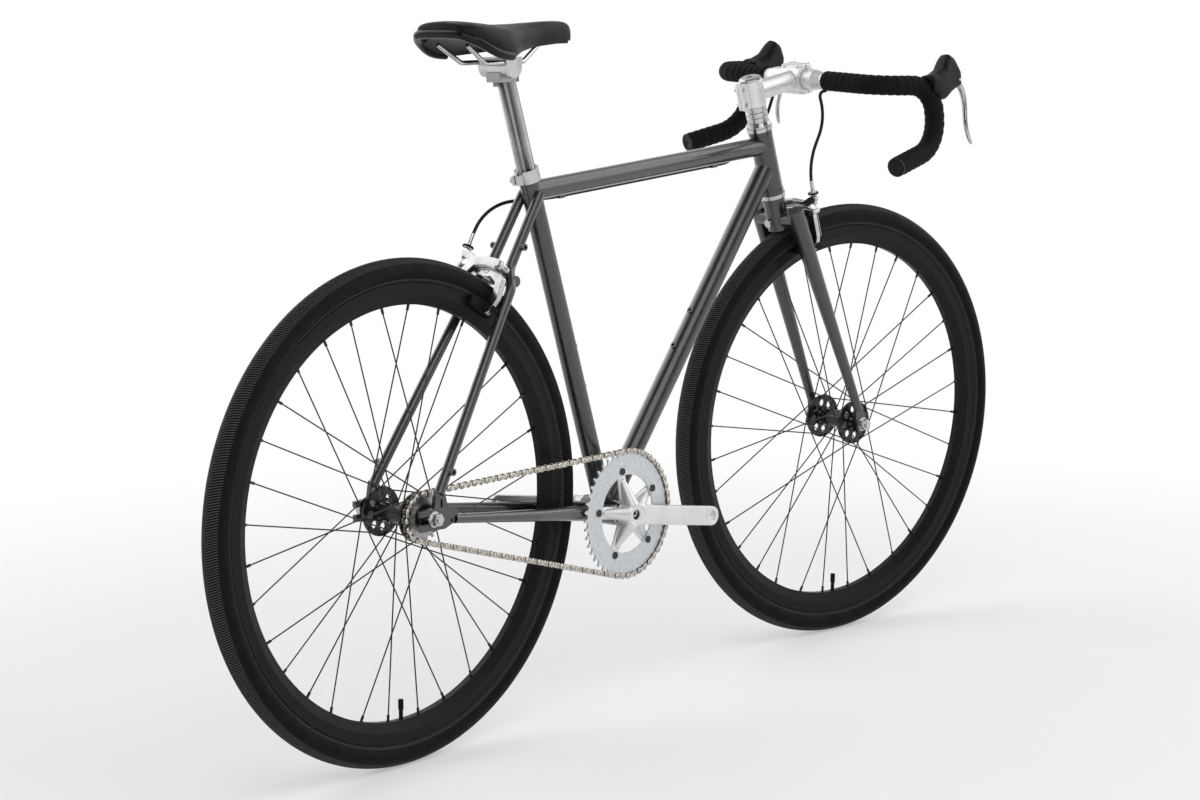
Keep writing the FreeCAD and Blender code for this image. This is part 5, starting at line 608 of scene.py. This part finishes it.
for end, body in (("front", "steering"), ("rear", "frame")):
    node = end + "_brake_cable"
    copy_of(end + "_cable_piece", node)
    bpy.ops.object.mode_set(mode="EDIT")
    bpy.ops.mesh.separate(type="LOOSE")
    bpy.ops.object.mode_set(mode="OBJECT")
    bpy.ops.object.shade_smooth_by_angle(angle=math.radians(40))
    housing, wire = sorted(bpy.context.selected_objects, key=lambda piece: -len(piece.data.vertices))
    housing.name, wire.name = end + "_cable_sleeve", end + "_bare_wire"
    spots = [spot.co.copy() for spot in wire.data.vertices]
    lowest, highest = min(spots, key=lambda spot: spot.z), max(spots, key=lambda spot: spot.z)
    way = (highest - lowest).normalized()
    reach = max(spot.dot(way) for spot in spots)
    rim = [spot for spot in spots if spot.dot(way) > reach - 0.0005]
    top = sum(rim, Vector()) / len(rim)
    ferrule = rod(end + "_ferrule", top, top + way * FERRULE_LENGTH, FERRULE_RADIUS)
    clear_selection()
    bpy.ops.mesh.primitive_torus_add(major_radius=TURNER_RADIUS, minor_radius=TURNER_WIRE, major_segments=40,
                                     minor_segments=12, location=(0, 0, 0))
    turner = bpy.context.object
    turner.name = end + "_adjuster_ring"
    turner.data.transform(Matrix.Translation(top - way * RING_DROP)
                          @ way.to_track_quat("Z", "Y").to_matrix().to_4x4())
    bpy.ops.object.shade_smooth()
    side_arm, sleeve_end = end + "_side_arm", top + way * FERRULE_LENGTH
    pieces = [(housing, sleeve), (wire, bright), (ferrule, bright), (turner, sleeve)]
    if end == "rear":
        clear_selection()
        housing.select_set(True)
        bpy.context.view_layer.objects.active = housing
        ahead = set()
        for face in housing.data.polygons:
            face.select = face.center.x > SLEEVE_PARTING
            if face.select:
                ahead.update(face.vertices)
        for spot in housing.data.vertices:
            spot.select = spot.index in ahead
        for edge in housing.data.edges:
            edge.select = ahead.issuperset(edge.vertices)
        bpy.ops.object.mode_set(mode="EDIT")
        bpy.ops.mesh.separate(type="SELECTED")
        bpy.ops.object.mode_set(mode="OBJECT")
        fore, = [piece for piece in bpy.context.selected_objects if piece is not housing]
        fore.name = "rear_cable_sleeve_fore"
        pieces.append((fore, sleeve))
    for piece, material in pieces:
        piece.data.materials.clear()
        piece.data.materials.append(material)
        if piece not in (ferrule, turner):
            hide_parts(node)
    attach(ferrule, side_arm)
    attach(turner, side_arm)
    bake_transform(wire)
    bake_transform(housing)
    if end == "rear":
        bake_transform(fore)


# Bar tape: a soft strip wound in a spiral from the bar ends to the tops, each turn
# lapping the one before, with a black plug pressed into each end.

BAR_PLACE = Matrix.Translation((0.891425, -0.014598, 0.907113)) @ Matrix(FRONT_AXES).transposed().to_4x4()
BAR_CORNERS = ((0, 0.178, 0), (0.097, 0.194, -0.002), (0.097, 0.212, -0.093), (-0.013, 0.231, -0.1186))
BAR_BENDS = (0.048, 0.040, 0.065)
TAPE_START = 0.064
TAPE_RADIUS = 0.0156
TAPE_LAP = 0.0014
TAPE_PITCH = 0.0125
TAPE_STEP = 0.0014
TAPE_SIDES = 36
LAP_RISE = 0.16
LAP_FALL = 0.75


def bar_line(side):
    """Points along one half of the bar from the tape's start, runs and bends, one step apart."""
    corners = [Vector((x, side * y, z)) for x, y, z in ((0, TAPE_START, 0),) + BAR_CORNERS]
    line = [corners[0]]
    for before, corner, after, bend in zip(corners, corners[1:], corners[2:], BAR_BENDS):
        back, ahead = (before - corner).normalized(), (after - corner).normalized()
        half = 0.5 * back.angle(ahead)
        reach = bend / math.tan(half)
        middle = corner + (back + ahead).normalized() * (bend / math.sin(half))
        first, last = corner + back * reach - middle, corner + ahead * reach - middle
        turn = first.angle(last)
        spin_axis = first.cross(last).normalized()
        pieces = max(2, round(turn * bend / TAPE_STEP))
        for index in range(pieces + 1):
            line.append(middle + Matrix.Rotation(turn * index / pieces, 3, spin_axis) @ first)
    line.append(corners[-1])
    fine = [line[0]]
    for end in line[1:]:
        run = end - fine[-1]
        pieces = max(1, round(run.length / TAPE_STEP))
        start = fine[-1]
        fine += [start + run * (index / pieces) for index in range(1, pieces + 1)]
    return fine


def tape_height(turns):
    """How far one wrap stands out, by the share of a turn since its edge."""
    share = turns - math.floor(turns)
    rise = min(1.0, share / LAP_RISE)
    return TAPE_LAP * (rise * rise * (3 - 2 * rise) - LAP_FALL * share ** 1.5)


def wound_tape(name, side):
    """One half of the tape: a tube along the bar whose wraps stand out in a spiral."""
    line = bar_line(side)
    heading = (line[1] - line[0]).normalized()
    up = Vector((0, 0, 1))
    points, faces, travelled = [], [], 0.0
    for index, centre in enumerate(line):
        if index:
            travelled += (centre - line[index - 1]).length
            heading = (line[min(index + 1, len(line) - 1)] - line[index - 1]).normalized()
        up = (up - heading * up.dot(heading)).normalized()
        aside = heading.cross(up)
        for corner in range(TAPE_SIDES):
            angle = 2 * math.pi * corner / TAPE_SIDES
            radius = TAPE_RADIUS - TAPE_LAP + tape_height(travelled / TAPE_PITCH + side * corner / TAPE_SIDES)
            points.append(centre + (up * math.cos(angle) + aside * math.sin(angle)) * radius)
    rings = len(line)
    for ring in range(rings - 1):
        for corner in range(TAPE_SIDES):
            after = (corner + 1) % TAPE_SIDES
            faces.append((ring * TAPE_SIDES + corner, ring * TAPE_SIDES + after,
                          (ring + 1) * TAPE_SIDES + after, (ring + 1) * TAPE_SIDES + corner))
    faces.append(tuple(range(TAPE_SIDES))[::-1])
    faces.append(tuple((rings - 1) * TAPE_SIDES + corner for corner in range(TAPE_SIDES)))
    mesh = bpy.data.meshes.new(name)
    mesh.from_pydata(points, [], faces)
    piece = bpy.data.objects.new(name, mesh)
    bpy.context.collection.objects.link(piece)
    clear_selection()
    piece.select_set(True)
    bpy.context.view_layer.objects.active = piece
    bpy.ops.object.mode_set(mode="EDIT")
    bpy.ops.mesh.select_all(action="SELECT")
    bpy.ops.mesh.normals_make_consistent(inside=False)
    bpy.ops.object.mode_set(mode="OBJECT")
    piece.data.transform(BAR_PLACE)
    bpy.ops.object.shade_smooth_by_angle(angle=math.radians(50))
    return piece


tape_foam, tree, shader, place = new_finish("cork_foam_tape")
tree.links.new(tint(tree, grain(tree, place, 500), (0.0035, 0.0035, 0.0035), (0.009, 0.009, 0.009)),
               shader.inputs["Base Color"])
shader.inputs["Specular IOR Level"].default_value = 0.10
tree.links.new(spread(tree, grain(tree, place, 300), 0.62, 0.78), shader.inputs["Roughness"])
pores = number(tree, "ADD", grain(tree, place, 700, 4), grain(tree, place, 2400, 2))
relief(tree, shader, pores, 0.00022)

PLUG_RADIUS = 0.0148
PLUG_DEPTH = 0.004
PLUG_BEVEL = 0.0012
PLUG_STEPS = (
    # inset and depth of each step towards the middle
    (0.004, 0),
    (0.0012, -0.0014),
    (0.0045, 0),
    (0.0008, -0.0012),
)
for word, side in (("left", 1), ("right", -1)):
    tape = wound_tape(word + "_wound_tape", side)
    tape.data.materials.append(tape_foam)
    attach(tape, "steering")
    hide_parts("bar_tape")
    ends = [Vector((x, side * y, z)) for x, y, z in BAR_CORNERS[-2:]]
    out = (ends[1] - ends[0]).normalized()
    clear_selection()
    bpy.ops.mesh.primitive_cylinder_add(vertices=40, radius=PLUG_RADIUS, depth=PLUG_DEPTH, location=(0, 0, 0))
    plug = bpy.context.object
    plug.name = word + "_bar_plug"
    bpy.ops.object.mode_set(mode="EDIT")
    bpy.ops.mesh.select_all(action="DESELECT")
    bpy.ops.object.mode_set(mode="OBJECT")
    for face in plug.data.polygons:
        face.select = face.normal.z > 0.9
    bpy.ops.object.mode_set(mode="EDIT")
    for inset, depth in PLUG_STEPS:
        bpy.ops.mesh.inset(thickness=inset, depth=depth)
    bpy.ops.object.mode_set(mode="OBJECT")
    edge = plug.modifiers.new("edge", "BEVEL")
    edge.width = PLUG_BEVEL
    edge.segments = 3
    edge.limit_method = "ANGLE"
    edge.angle_limit = math.radians(50)
    bpy.ops.object.modifier_apply(modifier=edge.name)
    plug.data.transform(BAR_PLACE @ Matrix.Translation(ends[1] + out * (0.5 * PLUG_DEPTH))
                        @ out.to_track_quat("Z", "Y").to_matrix().to_4x4())
    bpy.ops.object.shade_smooth_by_angle(angle=math.radians(35))
    plug.data.materials.append(sleeve)
    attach(plug, "steering")
    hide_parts("bar_tape")


# Brake hoods: rubber sleeves over the lever bodies, soft at every edge, rising to a
# round horn and wrapped at the rear round the taped bar.

HOOD_GRID = 0.0013
HOOD_ROUNDS = 14

hood_rubber, tree, shader, place = new_finish("hood_rubber")
tree.links.new(tint(tree, grain(tree, place, 70), (0.0045, 0.0045, 0.0047), (0.009, 0.009, 0.0092)),
               shader.inputs["Base Color"])
tree.links.new(spread(tree, grain(tree, place, 130), 0.42, 0.54), shader.inputs["Roughness"])
shader.inputs["Specular IOR Level"].default_value = 0.15
relief(tree, shader, grain(tree, place, 1300, 3), 0.00008)
soft_skin("rubber_hoods", "brake_hoods", "steering", hood_rubber, HOOD_GRID, HOOD_ROUNDS)


# Saddle cover: thin leather-like skin drawn tight over foam on the base, wide and
# lifted at the rear, slim at the nose, hollow below.

SADDLE_PLACE = Vector((0.222045, 0, 0.950985))
SADDLE_LENGTH = 0.264
SADDLE_HALF = 0.068
SADDLE_HEIGHT = 0.050
SADDLE_TOP = 0.059
SADDLE_BACK = 0.122
SADDLE_SHARES = (
    # along from the rear, half width, top, drop to the edge, arch of the underside
    (0.0, 0.60, 0.10, 0.42, 0.20),
    (0.07, 0.86, 0.13, 0.66, 0.40),
    (0.20, 1.0, 0.08, 0.95, 0.62),
    (0.34, 0.92, 0.0, 0.95, 0.60),
    (0.50, 0.56, -0.02, 0.80, 0.44),
    (0.66, 0.33, 0.0, 0.68, 0.32),
    (0.85, 0.26, 0.02, 0.62, 0.22),
    (0.96, 0.21, -0.02, 0.56, 0.14),
    (1.0, 0.12, -0.14, 0.42, 0.08),
)
SADDLE_RINGS = 56
SECTION_SHARES = ((0.93, 0.0), (0.985, 0.2), (1.0, 0.42), (0.965, 0.64), (0.87, 0.80), (0.70, 0.905),
                  (0.45, 0.966), (0.2, 0.993), (0.0, 1.0))
UNDER_STEPS = 9


def saddle_row(along):
    """The shape numbers at a share of the length, eased between the listed rows."""
    for low, high in zip(SADDLE_SHARES, SADDLE_SHARES[1:]):
        if along <= high[0]:
            break
    before = SADDLE_SHARES[max(0, SADDLE_SHARES.index(low) - 1)]
    after = SADDLE_SHARES[min(len(SADDLE_SHARES) - 1, SADDLE_SHARES.index(high) + 1)]
    gap = high[0] - low[0]
    share = (along - low[0]) / gap
    row = []
    for index in range(1, 5):
        slope_low = gap * (high[index] - before[index]) / max(1e-6, high[0] - before[0])
        slope_high = gap * (after[index] - low[index]) / max(1e-6, after[0] - low[0])
        row.append((2 * share ** 3 - 3 * share ** 2 + 1) * low[index]
                   + (share ** 3 - 2 * share ** 2 + share) * slope_low
                   + (3 * share ** 2 - 2 * share ** 3) * high[index] + (share ** 3 - share ** 2) * slope_high)
    return row


def saddle_ring(along):
    """One section: up the side, over the top, down, and back under the arch."""
    wide, top, drop, arch = saddle_row(along)
    ahead = along * SADDLE_LENGTH - SADDLE_BACK
    half = wide * SADDLE_HALF
    high = SADDLE_TOP + top * SADDLE_HEIGHT
    low = high - drop * SADDLE_HEIGHT
    right = [(-half * across, low + (high - low) * rise) for across, rise in SECTION_SHARES]
    left = [(-across, level) for across, level in right[-2::-1]]
    edge = SECTION_SHARES[0][0] * half
    under = []
    for step in range(1, UNDER_STEPS + 1):
        across = edge * (1 - 2 * step / (UNDER_STEPS + 1))
        under.append((across, low + arch * SADDLE_HEIGHT * (1 - (across / edge) ** 2)))
    return [SADDLE_PLACE + Vector((ahead, across, level)) for across, level in right + left + under]


rings = [saddle_ring(index / SADDLE_RINGS) for index in range(SADDLE_RINGS + 1)]
sides = len(rings[0])
saddle_points = [spot for ring in rings for spot in ring]
saddle_faces = [(ring * sides + corner, ring * sides + (corner + 1) % sides,
                 (ring + 1) * sides + (corner + 1) % sides, (ring + 1) * sides + corner)
                for ring in range(SADDLE_RINGS) for corner in range(sides)]
saddle_faces.append(tuple(range(sides)))
saddle_faces.append(tuple(SADDLE_RINGS * sides + corner for corner in range(sides))[::-1])
saddle_mesh = bpy.data.meshes.new("saddle_leather")
saddle_mesh.from_pydata(saddle_points, [], saddle_faces)
cover = bpy.data.objects.new("saddle_leather", saddle_mesh)
bpy.context.collection.objects.link(cover)
clear_selection()
cover.select_set(True)
bpy.context.view_layer.objects.active = cover
bpy.ops.object.mode_set(mode="EDIT")
bpy.ops.mesh.select_all(action="SELECT")
bpy.ops.mesh.normals_make_consistent(inside=False)
bpy.ops.object.mode_set(mode="OBJECT")
tight = cover.modifiers.new("tight", "SUBSURF")
tight.levels = 1
tight.render_levels = 1
bpy.ops.object.modifier_apply(modifier=tight.name)
bpy.ops.object.shade_smooth_by_angle(angle=math.radians(55))

leather, tree, shader, place = new_finish("saddle_skin")
cells = tree.nodes.new("ShaderNodeTexVoronoi")
cells.inputs["Scale"].default_value = 900
tree.links.new(place, cells.inputs["Vector"])
tree.links.new(tint(tree, grain(tree, place, 40, 4), (0.005, 0.005, 0.0052), (0.010, 0.0097, 0.010)),
               shader.inputs["Base Color"])
shader.inputs["Specular IOR Level"].default_value = 0.17
tree.links.new(spread(tree, grain(tree, place, 60), 0.38, 0.50), shader.inputs["Roughness"])
relief(tree, shader, cells.outputs["Distance"], 0.0002)
cover.data.materials.append(leather)
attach(cover, "saddle")
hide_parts("saddle_cover")


# Rear bumper of the saddle: a band of glossy black plastic leather, sewn round the edge
# of the wings and tail.

BAND_RADIUS = 0.0064
BAND_REACH = 0.30
BAND_STEPS = 16
BAND_WIDE = 0.955
BAND_LIFT = 0.005

band_line = []
for side in (-1, 1):
    run = [BAND_REACH * index / BAND_STEPS for index in range(BAND_STEPS + 1)]
    for along in (run[::-1] if side < 0 else run):
        wide, top, drop, arch = saddle_row(along)
        low = SADDLE_TOP + (top - drop) * SADDLE_HEIGHT
        spot = Vector((along * SADDLE_LENGTH - SADDLE_BACK, side * BAND_WIDE * wide * SADDLE_HALF,
                       low + BAND_LIFT))
        band_line.append(SADDLE_PLACE + spot)
band_curve = bpy.data.curves.new("band", "CURVE")
band_curve.dimensions = "3D"
band_curve.bevel_depth = BAND_RADIUS
band_curve.bevel_resolution = 5
band_curve.use_fill_caps = True
spline = band_curve.splines.new("NURBS")
spline.points.add(len(band_line) - 1)
for point, spot in zip(spline.points, band_line):
    point.co = (*spot, 1)
spline.order_u = 4
spline.use_endpoint_u = True
band_shape = bpy.data.objects.new("band", band_curve)
bpy.context.collection.objects.link(band_shape)
bpy.context.view_layer.update()
band_mesh = bpy.data.meshes.new_from_object(band_shape.evaluated_get(bpy.context.evaluated_depsgraph_get()))
bpy.data.objects.remove(band_shape)
band = bpy.data.objects.new("saddle_rear_band", band_mesh)
bpy.context.collection.objects.link(band)
clear_selection()
band.select_set(True)
bpy.context.view_layer.objects.active = band
bpy.ops.object.shade_smooth()

patent, tree, shader, place = new_finish("patent_band")
tree.links.new(tint(tree, grain(tree, place, 60), (0.003, 0.003, 0.003), (0.006, 0.006, 0.006)),
               shader.inputs["Base Color"])
tree.links.new(spread(tree, grain(tree, place, 40), 0.10, 0.18), shader.inputs["Roughness"])
shader.inputs["Specular IOR Level"].default_value = 0.22
band.data.materials.append(patent)
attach(band, "saddle")


# Saddle base: moulded black plastic under the cover, with the ends of the rails pressed
# into it.

base_plastic, tree, shader, place = new_finish("moulded_base")
tree.links.new(tint(tree, grain(tree, place, 200), (0.004, 0.004, 0.004), (0.008, 0.008, 0.008)),
               shader.inputs["Base Color"])
tree.links.new(spread(tree, grain(tree, place, 300), 0.28, 0.40), shader.inputs["Roughness"])
shader.inputs["Specular IOR Level"].default_value = 0.2
relief(tree, shader, grain(tree, place, 900, 2), 0.00006)
dress(base_plastic, "saddle_shell")


# Studio: a pale floor that fades to white away from the object, soft lamps above and
# at the sides, a surround that greys towards the ceiling and behind the camera, and
# white paper behind the object.

FLOOR_SIZE = 60
FLOOR_MIDDLE = (0.5, 0, 0)
FLOOR_GREY = 0.90
FLOOR_NEAR = 0.9
FLOOR_FAR = 2.2
FLOOR_GLOW = 0.35

clear_selection()
bpy.ops.mesh.primitive_plane_add(size=FLOOR_SIZE, location=FLOOR_MIDDLE)
floor = bpy.context.object
floor.name = "floor"
floor_paper, tree, shader, place = new_finish("floor_paper")
shader.inputs["Base Color"].default_value = (FLOOR_GREY, FLOOR_GREY, FLOOR_GREY, 1)
shader.inputs["Roughness"].default_value = 0.9
shader.inputs["Specular IOR Level"].default_value = 0.0
reach = tree.nodes.new("ShaderNodeVectorMath")
reach.operation = "LENGTH"
tree.links.new(place, reach.inputs[0])
fade = tree.nodes.new("ShaderNodeMapRange")
fade.interpolation_type = "SMOOTHSTEP"
fade.inputs["From Min"].default_value = FLOOR_NEAR
fade.inputs["From Max"].default_value = FLOOR_FAR
fade.inputs["To Min"].default_value = FLOOR_GLOW
tree.links.new(reach.outputs["Value"], fade.inputs["Value"])
glow = tree.nodes.new("ShaderNodeEmission")
mixed = tree.nodes.new("ShaderNodeMixShader")
tree.links.new(fade.outputs["Result"], mixed.inputs["Fac"])
tree.links.new(shader.outputs["BSDF"], mixed.inputs[1])
tree.links.new(glow.outputs["Emission"], mixed.inputs[2])
tree.links.new(mixed.outputs["Shader"], tree.nodes["Material Output"].inputs["Surface"])
floor.data.materials.append(floor_paper)
floor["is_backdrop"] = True

STUDIO_DARK = (-0.742, -0.642, 0.193)
STUDIO_LEVELS = ((0.0, 1.0), (0.28, 0.8), (0.62, 0.08))
CEILING_START = 0.15
CEILING_FULL = 0.9
CEILING_SHARE = 0.35

studio = bpy.data.worlds.new("studio")
bpy.context.scene.world = studio
studio.use_nodes = True
tree = studio.node_tree
backdrop = tree.nodes["Background"]
toward = tree.nodes.new("ShaderNodeVectorMath")
toward.operation = "DOT_PRODUCT"
toward.inputs[1].default_value = STUDIO_DARK
heading = tree.nodes.new("ShaderNodeTexCoord").outputs["Generated"]
tree.links.new(heading, toward.inputs[0])
surround = tree.nodes.new("ShaderNodeValToRGB")
surround.color_ramp.elements.new(0.5)
for element, (position, grey) in zip(surround.color_ramp.elements, STUDIO_LEVELS):
    element.position = position
    element.color = (grey, grey, grey, 1)
tree.links.new(toward.outputs["Value"], surround.inputs["Fac"])
rise = tree.nodes.new("ShaderNodeSeparateXYZ")
tree.links.new(heading, rise.inputs["Vector"])
ceiling = tree.nodes.new("ShaderNodeMapRange")
ceiling.inputs["From Min"].default_value = CEILING_START
ceiling.inputs["From Max"].default_value = CEILING_FULL
ceiling.inputs["To Min"].default_value = 1.0
ceiling.inputs["To Max"].default_value = CEILING_SHARE
tree.links.new(rise.outputs["Z"], ceiling.inputs["Value"])
tree.links.new(surround.outputs["Color"], backdrop.inputs["Color"])
tree.links.new(ceiling.outputs["Result"], backdrop.inputs["Strength"])

sight = tree.nodes.new("ShaderNodeLightPath")
paper = tree.nodes.new("ShaderNodeBackground")
paper.inputs["Color"].default_value = (1, 1, 1, 1)
seen = tree.nodes.new("ShaderNodeMixShader")
tree.links.new(sight.outputs["Is Camera Ray"], seen.inputs["Fac"])
tree.links.new(backdrop.outputs["Background"], seen.inputs[1])
tree.links.new(paper.outputs["Background"], seen.inputs[2])
tree.links.new(seen.outputs["Shader"], tree.nodes["World Output"].inputs["Surface"])

LAMPS = (
    # place, size, power
    ((-1.2, -2.6, 3.0), 3.6, 70),
    ((2.6, -1.4, 2.6), 3.2, 38),
    ((0.4, 2.8, 2.4), 3.4, 45),
)
LAMP_AIM = Vector((0.5, 0, 0.45))

for index, (spot, size, power) in enumerate(LAMPS):
    bpy.ops.object.light_add(type="AREA", location=spot)
    lamp = bpy.context.object
    lamp.name = "softbox_%d" % (index + 1)
    lamp.data.size = size
    lamp.data.energy = power
    lamp.rotation_euler = (LAMP_AIM - Vector(spot)).to_track_quat("-Z", "Y").to_euler()

CAMERA_SPOT = Vector((-2.7433, -2.7387, 1.0975))
YAW, PITCH, ROLL = math.radians(40.851), math.radians(-8.726), math.radians(-0.908)
PICTURE_WIDE = 1200
SENSOR_WIDE = 36
FOCAL_PIXELS = 2877.2
LENS = FOCAL_PIXELS / PICTURE_WIDE * SENSOR_WIDE

ahead = Vector((math.cos(PITCH) * math.cos(YAW), math.cos(PITCH) * math.sin(YAW), math.sin(PITCH)))
level = ahead.cross(Vector((0, 0, 1))).normalized()
above = level.cross(ahead)
right = level * math.cos(ROLL) + above * math.sin(ROLL)
upward = above * math.cos(ROLL) - level * math.sin(ROLL)
eye = bpy.data.objects.new("camera", bpy.data.cameras.new("camera"))
bpy.context.collection.objects.link(eye)
eye.data.sensor_width = SENSOR_WIDE
eye.data.lens = LENS
eye.data.clip_end = 200
eye.matrix_world = Matrix.Translation(CAMERA_SPOT) @ Matrix((right, upward, -ahead)).transposed().to_4x4()
bpy.context.scene.camera = eye
bpy.context.scene.view_settings.view_transform = "Standard"


# Size of the dressed object, in metres.

low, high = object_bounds()
